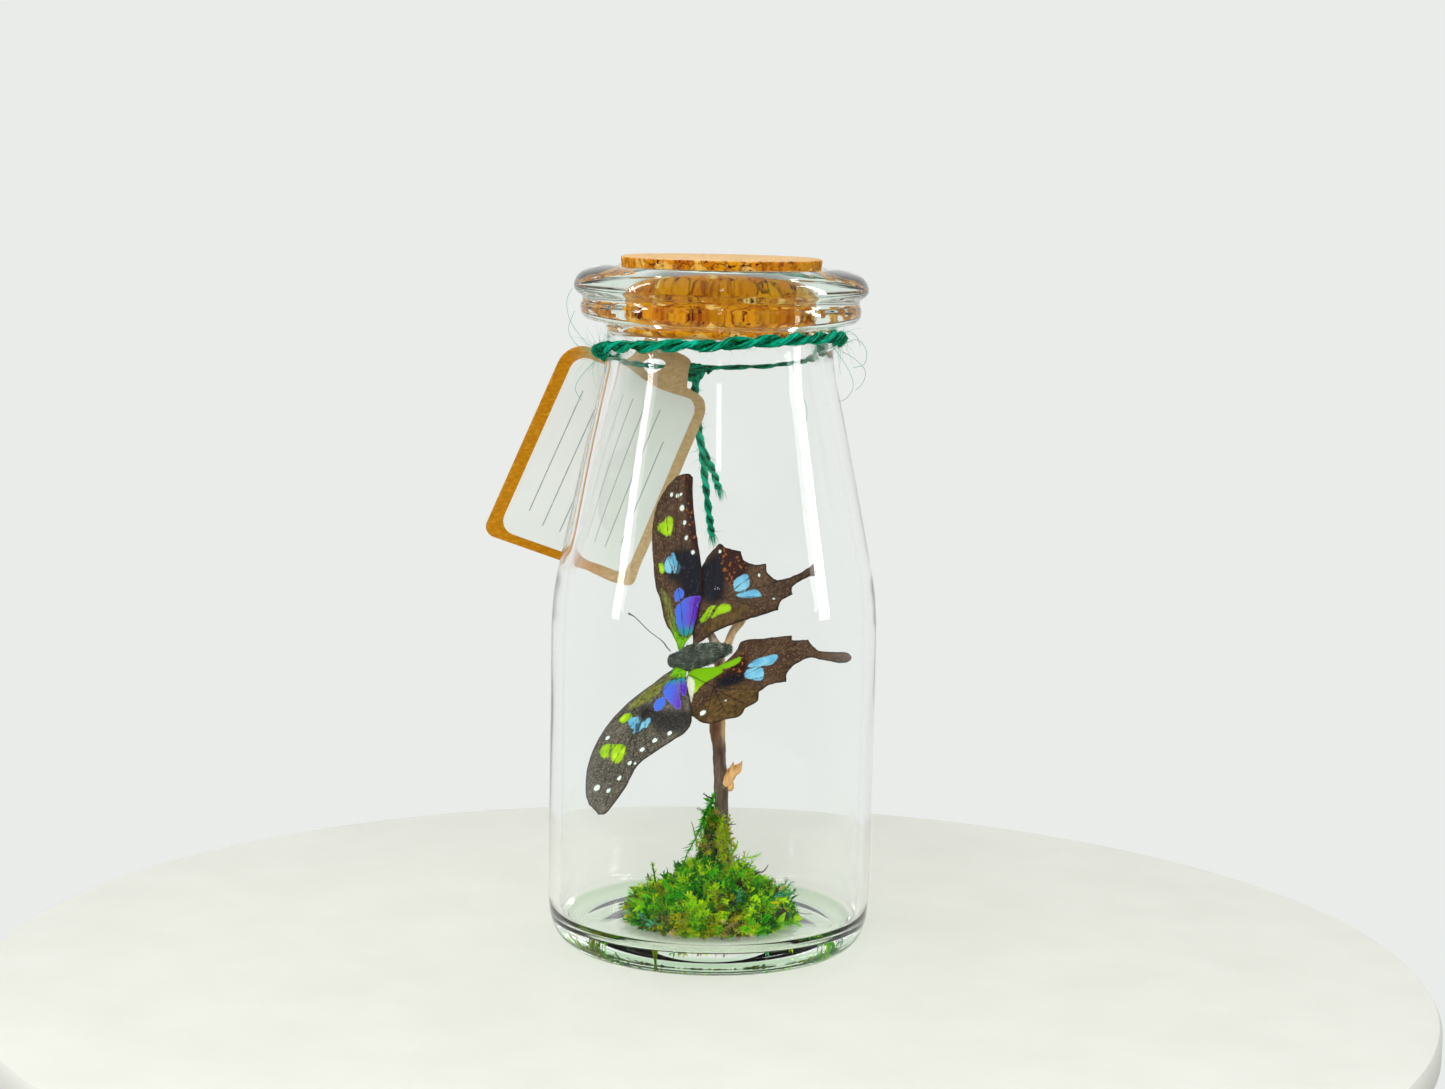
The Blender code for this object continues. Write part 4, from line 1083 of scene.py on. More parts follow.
# The CAD mound's peaks: (x, y, rise, width). The last two are thin spikes, which strands stand for
MOSS_PEAKS = [
    (1.2, 3.6, 8.0, 4.2), (0.3, 4.4, 6.5, 1.9), (-3.6, 1.8, 4.5, 2.4), (6.0, 1.0, 2.0, 3.0),
    (-12.4, -1.0, 6.0, 1.4), (12.8, -0.6, 3.8, 2.0),
]
MAT_RINGS, MAT_SPOKES, MAT_REACH, SPOT_REACH = 44, 132, 0.86, 0.94
CONE_BACK = 3.4  # how far strands beside the twig lie back at the cone's top
# Which moss grows where: for each, how much at the foot, on the mound and round the twig, and how
# it drifts
MOSS_SORTS = {
    "moss_green": (1.0, 1.7, 0.6, 0.0),
    "moss_lime": (1.4, 1.8, 1.0, 4.0),
    "moss_olive": (0.85, 0.5, 1.6, 8.0),
    "moss_dark": (0.25, 0.35, 0.3, 12.0),
    "moss_brown": (0.26, 0.02, 0.2, 16.0),
    "moss_teal": (0.02, 0.06, 0.03, 20.0),
}
# The photo's separate strands: (sort, path, leaf length, leaves, tone)
MOSS_STRANDS = [
    ("moss_green", [(0.9, 0.9, 26.9), (0.3, 0.5, 27.6), (-0.9, 0.3, 25.2), (-1.8, 0.2, 22.6),
        (-3.1, 0.1, 19.7), (-4.6, 0.0, 17.0), (-5.2, -0.2, 14.1), (-5.4, -0.8, 11.9), (-4.6, -1.6, 10.3)],
        2.0, 84, 0.5),
    ("moss_green", [(0.6, 0.6, 27.6), (-0.6, 0.0, 26.2), (-1.5, -0.2, 23.9), (-2.4, -0.2, 21.6)], 1.5, 30,
        0.3),
    ("moss_dark", [(0.4, 0.5, 28.3), (-0.7, 0.4, 28.8), (-1.5, 0.4, 29.4)], 0.9, 8, 0.2),
    ("moss_olive", [(-2.4, 0.0, 18.6), (-2.9, 0.2, 20.8), (-3.3, 0.3, 22.2), (-3.7, 0.3, 23.4)], 0.9, 14,
        0.75),
    ("moss_green", [(-3.2, -0.6, 12.4), (-2.9, -0.4, 14.2), (-2.3, 0.0, 16.4), (-1.8, 0.3, 18.0)], 1.1, 18,
        0.5),
    ("moss_lime", [(4.6, 0.0, 12.6), (5.0, -0.4, 15.6), (6.7, -0.6, 16.9), (8.6, -0.6, 17.2),
        (10.2, -0.6, 17.9)], 1.9, 30, 0.6),
    ("moss_lime", [(6.0, -0.6, 12.6), (7.6, -0.8, 14.6), (8.6, -0.8, 16.6)], 1.7, 16, 0.5),
    ("moss_lime", [(4.2, 0.8, 17.0), (5.2, 0.4, 18.8), (5.6, 0.3, 20.2)], 1.2, 12, 0.55),
    ("moss_brown", [(8.6, -0.8, 13.0), (9.6, -1.0, 14.2), (10.7, -1.0, 14.4), (11.7, -1.0, 15.7)], 0.9, 10,
        0.2),
    ("moss_teal", [(10.4, -3.2, 9.6), (12.8, -3.2, 10.3), (14.6, -3.1, 11.0), (16.4, -3.0, 12.9)], 1.9, 26,
        0.6),
    ("moss_teal", [(12.0, -3.4, 9.6), (14.4, -3.4, 10.4), (17.0, -3.2, 10.9)], 1.6, 20, 0.75),
    ("moss_dark", [(13.6, -4.6, 9.6), (15.6, -5.0, 8.6), (17.2, -5.0, 7.7)], 1.2, 14, 0.35),
    ("moss_dark", [(-10.2, -2.2, 10.4), (-10.7, -2.0, 13.2), (-11.1, -2.0, 15.2), (-11.3, -2.0, 16.0)], 0.9,
        22, 0.45),
    ("moss_green", [(-6.4, -4.0, 11.6), (-6.6, -5.2, 9.0), (-5.0, -6.4, 7.6)], 1.3, 18, 0.7),
]
# Curled scraps: (sort, path, widths, tone)
MOSS_SCRAPS = [
    ("moss_lime", [(7.4, -11.4, 7.6), (7.0, -11.8, 9.2), (8.0, -11.4, 10.8), (9.2, -10.6, 12.2)],
        (0.9, 1.5, 1.3, 0.5), 0.62),
    ("moss_lime", [(9.4, -11.6, 8.6), (9.3, -11.6, 10.2), (9.6, -10.8, 11.6)], (0.5, 1.0, 0.4), 0.8),
    ("moss_olive", [(10.6, -7.6, 9.0), (12.4, -7.4, 9.6), (14.3, -7.0, 9.7)], (0.4, 0.9, 0.3), 0.95),
    ("moss_brown", [(12.2, -7.6, 9.0), (13.4, -7.4, 9.0), (14.4, -7.2, 8.6)], (0.4, 0.7, 0.3), 0.95),
    ("moss_teal", [(-8.0, -11.8, 6.4), (-6.6, -12.0, 7.0), (-5.0, -12.0, 6.6)], (0.3, 0.9, 0.3), 0.6),
    ("moss_olive", [(0.6, -11.6, 9.4), (2.0, -11.8, 9.8), (3.6, -11.6, 9.2)], (0.3, 0.8, 0.3), 0.9),
    ("moss_brown", [(-3.0, -15.0, 6.0), (-1.0, -15.4, 6.3), (1.4, -15.4, 6.0), (3.6, -15.0, 6.2)],
        (0.3, 0.7, 0.6, 0.2), 0.75),
]
# Bare stalks and hairs: (sort, path, thickness, tone)
MOSS_STALKS = [
    ("moss_dark", [(-8.3, -2.0, 11.6), (-8.3, -2.0, 13.2), (-8.2, -2.0, 14.2), (-8.4, -2.0, 15.1)], 0.09,
        0.3),
    ("moss_brown", [(-13.4, -12.4, 5.75), (-11.0, -12.6, 6.2), (-8.6, -12.2, 6.9)], 0.16, 0.2),
    ("moss_brown", [(17.0, -5.0, 7.8), (18.6, -5.2, 7.3), (20.4, -5.4, 7.4)], 0.07, 0.1),
    ("moss_brown", [(3.4, 1.0, 23.0), (4.4, 0.6, 23.4), (5.2, 0.4, 23.6)], 0.1, 0.2),
    ("moss_brown", [(11.2, -2.0, 12.4), (12.4, -2.0, 11.6), (13.2, -2.0, 10.4)], 0.1, 0.4),
    ("moss_brown", [(4.0, -14.6, 6.6), (5.2, -15.4, 6.2), (6.2, -15.8, 5.8)], 0.12, 0.9),
]


def hill(x, y, peak_x, peak_y, width):
    return math.exp(-((x - peak_x) ** 2 + (y - peak_y) ** 2) / width**2)


def moss_height(x, y):
    """The mound's height above the floor, as in the CAD."""
    share = min(1.0, math.hypot(x - MOSS_CENTRE[0], y - MOSS_CENTRE[1]) / MOSS_RADIUS)
    height = MOSS_HEIGHT * (1 - share**2) ** 0.6
    for peak_x, peak_y, rise, width in MOSS_PEAKS:
        height += rise * hill(x, y, peak_x, peak_y, width)
    lumps = noise.noise(Vector((x, y, 3.0)) * 0.45) + 0.6 * noise.noise(Vector((x, y, 9.0)) * 1.1)
    return FLOOR + GAP + max(0.6, height + 1.3 * lumps * (1 - share**4))


def show_height(x, y):
    """The mat's height: a little under the CAD mound, so that leaf tips reach its surface."""
    open_side = 5.4 * hill(x, y, -4.0, 1.6, 3.4)
    narrow = 2.5 * hill(x, y, 6.6, 1.6, 2.6)
    bare = 6.5 * math.exp(-(((x - 2.9) / 1.8) ** 2 + ((y - 1.2) / 2.8) ** 2))
    spikes = sum(0.9 * rise * hill(x, y, *peak, width) for *peak, rise, width in MOSS_PEAKS[4:])
    return moss_height(x, y) - 1.7 - open_side - narrow - bare - spikes


def clothe(sheaf, rng, path, leaf, count, tone, stem=0.11):
    """A stem with pointed leaves all along it, smaller towards its end."""
    last = len(path) - 1
    sheaf.tube(path, [stem * (1.2 - 0.8 * k / last) for k in range(last + 1)], 3, tone - 0.2)
    frames = frames_along(path)
    for k in range(count):
        t = (k + 0.6) / count * last
        low = min(int(t), last - 1)
        root = path[low].lerp(path[low + 1], t - low)
        along, side, rise = frames[low]
        out = around(side, rise, k * 2.4 + rng.uniform(-0.4, 0.4))
        size = leaf * (1.1 - 0.5 * t / last) * rng.uniform(0.7, 1.25)
        tip = root + (out * 0.7 + along * rng.uniform(0.35, 0.85)) * size
        sheaf.leaf(root, tip, along.cross(out) * size * 0.15, tone + rng.uniform(-0.12, 0.12))


def bent_line(rng, length, curl, steps):
    lean = Vector((rng.uniform(-1, 1), rng.uniform(-1, 1), 0)) * curl
    return [(Vector((0, 0, 1)) * (k / steps) + lean * (k / steps) ** 2) * length for k in range(steps + 1)]


def shoot_kind(rng, length, leaf, count, curl):
    """A shoot along +Z."""
    sheaf = Sheaf()
    clothe(sheaf, rng, bent_line(rng, length, curl, 5), leaf, count, 0.0)
    return sheaf.shape()


def scrap_kind(rng, length, width):
    """A curled scrap of leaf or bark."""
    sheaf = Sheaf()
    path = bent_line(rng, length, 0.7, 4)
    sheaf.ribbon(path, [width * w * rng.uniform(0.7, 1.2) for w in (0.35, 0.8, 1.0, 0.7, 0.15)], 0.0)
    return sheaf.shape()


def plant(name, rng, kinds, spots, material):
    """Puts one of the kinds at each spot of (place, heading, size, tone)."""
    corners, faces, tones = [], [], []
    count = 0
    for place, heading, size, tone in spots:
        shape, sides, shades = kinds[rng.randrange(len(kinds))]
        turn = heading.to_track_quat("Z", "Y").to_matrix()
        turn = turn @ Matrix.Rotation(rng.uniform(0, math.tau), 3, "Z")
        corners.append(shape @ np.array(turn).T * size + np.array(place))
        faces += [tuple(count + k for k in side) for side in sides]
        tones.append(shades + tone)
        count += len(shape)
    data = mesh_from(name, np.concatenate(corners), faces, 0, np.concatenate(tones))
    add_piece(name, data, material, "moss")


def moss_sort(rng, spot):
    cone = ramp(spot.z, 13.5, 17.0)
    foot = (1 - ramp(spot.z, 6.3, 9.5)) * (1 - cone)
    weights = []
    for low, middle, high, drift in MOSS_SORTS.values():
        share = low * foot + high * cone + middle * (1 - foot - cone)
        patch = noise.noise(Vector((spot.x * 0.24, spot.y * 0.24, spot.z * 0.24 + drift)))
        weights.append(share * math.exp(8.0 * patch))
    return rng.choices(list(MOSS_SORTS), weights)[0]


def kept_bare(x, y):
    """The foot of the twig's bare strip, and where the crumb of bark lies."""
    return (1.3 < x < 4.6 and -2.0 < y < 3.4) or math.hypot(x - 14.0, y + 6.5) < 3.4


def moss_spots(rng, count, lift, sizes, depth=(0.2, 1.6)):
    """Spots spread over the mound, for each sort: (place, heading along the surface, size, tone)."""
    sorted_spots = {name: [] for name in MOSS_SORTS}
    for _ in range(count):
        a, share = rng.uniform(0, math.tau), math.sqrt(rng.random())
        if rng.random() < 0.25:
            share *= 0.36
        elif rng.random() < 0.25:
            share = rng.uniform(0.9, 1.0)
        x = MOSS_CENTRE[0] + MOSS_RADIUS * SPOT_REACH * share * math.cos(a)
        y = MOSS_CENTRE[1] + MOSS_RADIUS * SPOT_REACH * share * math.sin(a)
        if kept_bare(x, y):
            continue
        z = show_height(x, y)
        dx = (show_height(x + 0.4, y) - show_height(x - 0.4, y)) / 0.8
        dy = (show_height(x, y + 0.4) - show_height(x, y - 0.4)) / 0.8
        normal = Vector((-dx, -dy, 1)).normalized()
        stray = Vector([rng.gauss(0, 1) for _ in range(3)])
        flat = (stray - normal * stray.dot(normal)).normalized()
        heading = (flat + normal * rng.uniform(*lift)).normalized()
        if share > 0.88:  # the mound's steep side, over its whole height
            z = rng.uniform(FLOOR + 0.6, max(z, FLOOR + 1.2))
            normal = Vector((math.cos(a), math.sin(a), 0.3)).normalized()
            heading = (flat.cross(normal) + normal * rng.uniform(*lift)).normalized()
        place = Vector((x, y, max(z, FLOOR + 0.8))) - normal * rng.uniform(*depth)
        place.z = max(place.z, FLOOR + 0.5)
        heading.z = max(heading.z, -0.2 if place.z < FLOOR + 3 else heading.z)
        tone = clamp(rng.gauss(0.54, 0.26) + 1.1 * noise.noise(place * 0.5))
        size = rng.uniform(*sizes) * (1 - 0.35 * ramp(place.z, 12.0, 16.0))
        sorted_spots[moss_sort(rng, place)].append((place, heading, size, tone))
    return sorted_spots


def settle(route):
    """A strand's points, with those beside the twig moved back onto the cone, along the line of sight."""
    settled = []
    for x, y, z in route:
        back = CONE_BACK * ramp(z, 11.0, 19.0) if -6.0 < x < 4.0 else 0.0
        settled.append((x, y + back, z - 0.13 * back))
    return settled


def climbing_strands():
    """Thin strands that climb the front and the right of the twig, listed as MOSS_STRANDS are."""
    rng = random.Random(77)
    strands = []
    for _ in range(54):
        low, high = rng.uniform(12.5, 19.5), rng.uniform(18.5, 24.8)
        start, end = rng.uniform(-2.4, 5.6), rng.uniform(0.2, 3.8)
        path = []
        for k in range(5):
            x = start + (end - start) * k / 4 + rng.uniform(-0.4, 0.4)
            z = low + (high - low) * k / 4
            round_twig = math.sqrt(max(0.15, 1.75**2 - (x - 2.35) ** 2))
            y = 3.6 + (z - 14.8) * 0.172 - round_twig
            path.append((x, min(y, 0.1 + CONE_BACK * ramp(z, 11.0, 19.0)) if x < 1.0 else y, z))
        sort = rng.choices(("moss_olive", "moss_lime", "moss_green", "moss_brown"), (6, 4, 1.5, 0.7))[0]
        leaf, count = rng.uniform(1.1, 1.9), int(6 + (high - low) * 3.0)
        strands.append((sort, path, leaf, count, rng.uniform(0.65, 1.15)))
    return strands


def make_mat():
    """The dark mat that the moss grows on, closed below. Its near-black green is partly the mat's own dark
    colour and partly painted shade for the depths between the leaves.
    """
    corners = [(*MOSS_CENTRE, show_height(*MOSS_CENTRE))]
    for k in range(1, MAT_RINGS + 1):
        for j in range(MAT_SPOKES):
            a = math.tau * j / MAT_SPOKES
            x = MOSS_CENTRE[0] + MAT_REACH * MOSS_RADIUS * k / MAT_RINGS * math.cos(a)
            y = MOSS_CENTRE[1] + MAT_REACH * MOSS_RADIUS * k / MAT_RINGS * math.sin(a)
            fine = 0.8 * noise.noise(Vector((x, y, 1.0)) * 0.9) + 0.5 * noise.noise(Vector((x, y, 4.0)) * 2.6)
            fall = 2.6 * (k / MAT_RINGS) ** 6
            corners.append((x, y, max(FLOOR + GAP, show_height(x, y) + fine - fall)))
    last = len(corners) - MAT_SPOKES
    corners += [(x * 0.97, y * 0.97, FLOOR + GAP) for x, y, _ in corners[last:]]
    turns = [(j, (j + 1) % MAT_SPOKES) for j in range(MAT_SPOKES)]
    faces = [(0, 1 + j, 1 + i) for j, i in turns]
    for a in range(1, last + 1, MAT_SPOKES):
        c = a + MAT_SPOKES
        faces += [(a + j, c + j, c + i, a + i) for j, i in turns]
    faces.append(tuple(range(len(corners) - 1, len(corners) - 1 - MAT_SPOKES, -1)))
    tones = [0.3 + 0.5 * noise.noise(Vector(c) * 0.8) for c in corners]
    add_piece("moss_mat", mesh_from("moss_mat", corners, faces, None, tones), "moss_deep", "moss", "moss")


def of_sort(name, rows):
    return [row[1:] for row in rows if row[0] == name]


def make_moss():
    rng = random.Random(21)
    shoots = [shoot_kind(rng, rng.uniform(3.0, 5.0), leaf=1.7, count=20, curl=0.6) for _ in range(9)]
    stars = [shoot_kind(rng, 1.6, leaf=2.1, count=9, curl=0.5) for _ in range(8)]
    scraps = [scrap_kind(rng, rng.uniform(2.2, 3.6), rng.uniform(0.5, 0.85)) for _ in range(9)]
    long_spots = moss_spots(rng, 1450, lift=(0.05, 0.65), sizes=(0.65, 1.1))
    star_spots = moss_spots(rng, 1250, lift=(0.2, 1.5), sizes=(0.6, 1.1), depth=(-0.2, 1.0))
    scrap_spots = moss_spots(rng, 620, lift=(0.0, 0.6), sizes=(0.6, 1.15), depth=(-0.3, 0.8))
    climbing, climbing_rng = climbing_strands(), random.Random(78)
    for name in MOSS_SORTS:
        plant(name, rng, shoots, long_spots[name], name)
        plant(name + "_stars", rng, stars, star_spots[name], name)
        plant(name + "_scraps", rng, scraps, scrap_spots[name], name)
        sheaf = Sheaf()
        for path, leaf, count, tone in of_sort(name, MOSS_STRANDS):
            clothe(sheaf, rng, smooth(settle(path), 4), leaf, count, tone, 0.2)
        for path, leaf, count, tone in of_sort(name, climbing):
            clothe(sheaf, climbing_rng, smooth(path, 3), leaf, count, tone, 0.09)
        for path, widths, tone in of_sort(name, MOSS_SCRAPS):
            sheaf.ribbon(smooth(path, 3), smooth_values(widths, 3), tone)
        for path, width, tone in of_sort(name, MOSS_STALKS):
            line = smooth(settle(path), 4)
            sheaf.tube(line, [width * (1.1 - 0.5 * k / len(line)) for k in range(len(line))], 5, tone)
        sheaf.to_piece(name + "_strands", name, "moss", sharp_angle=0)


# ---------------------------------------------------------------- butterfly
INSECT_CENTRE = Vector((-5.5, 7.4, 55.2))
FORWARD = Vector((-0.895, 0.427, -0.132)).normalized()
UP = Vector((-0.419, -0.699, 0.579))
# The furry trunk, from head to tail: (forward, radius, right, up). Its coat fills the waist that the
# CAD shows.
COAT = [
    (4.0, 0.5, 0, -0.1), (3.6, 1.15, 0, -0.1), (2.8, 1.5, 0, 0), (2.0, 1.65, 0, 0), (1.2, 2.0, 0, 0),
    (0.2, 2.25, 0.1, 0), (-1.2, 2.25, 0.3, 0), (-2.7, 2.05, 0.6, 0), (-4.0, 1.9, 0.8, 0),
    (-5.5, 1.75, 1.0, 0.1), (-7.0, 1.35, 1.3, 0.2), (-8.5, 0.85, 1.5, 0.3), (-9.9, 0.25, 1.6, 0.3),
]
BODY_HAIRS, EYE_PLACE, EYE_RADIUS = 5200, (0.85, 3.0, 0.15), 0.62
ANTENNA = [(1.5, 3.2, 1.3), (2.6, 5.0, 3.3), (3.8, 6.9, 4.9), (5.8, 9.4, 7.0), (6.4, 10.9, 7.8)]
LEG_ROOTS, LEG_REACH, LEG_RADIUS = (1.5, 0.4, -0.7), (0.9, 0.0, -0.5), 0.22
WING_THICKNESS, WING_STEP, WING_ROOT = 0.3, 0.35, (2.9, 0.2, 0.5)
WING_NET, WING_CLEARANCE, RIM_THICKNESS = 0.42, 0.25, 0.05
VEIN_HEIGHT, VEIN_WIDTH = 0.07, 0.22
CAMBER, CAMBER_SPAN = 1.0, 37.0
DIHEDRAL_PITCH = {1: (20.5, 12.0), -1: (10.0, 5.0)}
# The wings' outlines, as runs from corner to corner: (out from the body, forward)
OUTLINES = {
    "forewing_right": [
        [(0.2, 1.4), (4.2, 4.9), (9.2, 6.5), (14.9, 7.9), (20.8, 8.8), (25.8, 8.9), (29.6, 7.9),
         (32.8, 5.6)],
        [(32.8, 5.6), (34.5, 3.0), (34.8, 0.4), (34.0, -1.1)],
        [(34.0, -1.1), (28.1, -1.7), (22.0, -3.0), (15.2, -4.5)],
        [(15.2, -4.5), (8.5, -4.2), (0.8, -1.2)],
    ],
    "forewing_left": [
        [(0.2, 1.2), (2.8, 5.5), (8.4, 10.6), (14.7, 13.4), (22.1, 14.1), (30.1, 11.8), (34.2, 7.9)],
        [(34.2, 7.9), (33.7, 6.1), (28.5, 3.5), (23.2, 2.0), (18.7, -3.6), (16.6, -6.4)],
        [(16.6, -6.4), (14.0, -7.1), (8.6, -5.1), (3.4, -2.4), (0.8, -1.2)],
    ],
    "hindwing_right": [
        [(0.6, -1.4), (6.0, -1.2), (12.0, -2.6), (17.0, -5.2), (19.7, -8.6)],
        [(19.7, -8.6), (18.5, -10.7), (17.6, -13.9)],
        [(17.6, -13.9), (15.9, -14.6), (14.8, -17.1), (14.6, -20.1)],
        [(14.6, -20.1), (12.9, -20.5), (11.5, -22.5), (11.5, -25.1), (12.2, -28.2), (13.2, -30.7)],
        [(13.2, -30.7), (13.8, -32.0), (12.8, -32.8), (11.6, -32.2)],
        [(11.6, -32.2), (11.2, -29.5), (10.6, -27.6), (9.6, -26.3), (8.1, -26.5)],
        [(8.1, -26.5), (7.2, -24.4), (6.4, -23.4), (5.1, -22.8)],
        [(5.1, -22.8), (4.4, -19.3), (3.9, -15.4), (3.1, -11.4), (2.2, -7.0), (1.2, -3.4)],
    ],
    "hindwing_left": [
        [(0.6, -1.4), (5.5, -1.6), (10.1, -4.0), (12.1, -6.4), (13.9, -9.2), (14.4, -11.9), (13.7, -13.9)],
        [(13.7, -13.9), (13.1, -17.2), (11.1, -17.9)],
        [(11.1, -17.9), (9.7, -20.1), (7.2, -19.8)],
        [(7.2, -19.8), (5.7, -21.6), (5.2, -25.1)],
        [(5.2, -25.1), (3.0, -24.6), (1.7, -25.6), (0.8, -28.3), (1.3, -31.4), (2.1, -35.4)],
        [(2.1, -35.4), (2.1, -36.7), (1.4, -37.2), (0.6, -36.2)],
        [(0.6, -36.2), (-0.2, -31.1), (-1.4, -29.0), (-3.1, -27.3)],
        [(-3.1, -27.3), (-3.3, -24.1), (-4.6, -23.4)],
        [(-4.6, -23.4), (-4.6, -18.0), (-4.5, -12.7), (-2.6, -11.3), (0.4, -8.6), (0.6, -3.4)],
    ],
}
# The veins: the end of the wing's cell, how the veins beyond it bow, where those end, and the lines
# round the cell
VEINS = {
    "forewing_right": [
        (12.5, 1.4),
        (0.0, 0.5),
        [(16.5, -4.0), (20.5, -3.1), (24.5, -2.3), (28.5, -1.5), (32.5, -0.7), (34.0, 2.4), (31.5, 6.0),
         (27.0, 8.0)],
        [
            [(0.8, 0.6), (5.0, 3.6), (15.5, 5.0)],
            [(0.8, 0.0), (12.5, 1.4)],
            [(0.9, -0.5), (8.0, -3.0), (14.5, -4.2)],
        ],
    ],
    "forewing_left": [
        (9.5, 4.6),
        (0.0, 0.5),
        [(15.5, -5.5), (18.3, -2.6), (21.3, 0.4), (24.6, 3.2), (28.5, 4.8), (32.5, 6.8), (32.5, 9.6),
         (27.0, 12.2)],
        [
            [(0.8, 0.6), (5.0, 6.0), (12.5, 8.2)],
            [(0.8, 0.0), (9.5, 4.6)],
            [(0.9, -0.5), (8.0, -3.0), (14.5, -6.4)],
        ],
    ],
    "hindwing_right": [
        (8.5, -8.0),
        (0.3, 0.0),
        [(19.0, -8.2), (17.9, -12.5), (15.4, -16.0), (13.8, -20.0), (11.9, -29.5), (7.6, -25.4),
         (4.9, -20.5)],
        [[(1.0, -1.6), (6.0, -3.2), (12.0, -6.0)], [(1.0, -2.2), (8.5, -8.0)]],
    ],
    "hindwing_left": [
        (5.0, -9.0),
        (0.3, 0.0),
        [(13.8, -10.0), (13.2, -15.0), (10.6, -18.4), (6.8, -20.6), (1.1, -34.0), (-3.0, -26.0),
         (-4.4, -20.0)],
        [[(1.0, -1.6), (6.0, -3.2), (8.5, -7.0)], [(1.0, -2.2), (5.0, -9.0)]],
    ],
}
TINTS = ("ink", "ember", "olive", "umber", "leaf", "violet", "blue", "lime", "cream", "white")
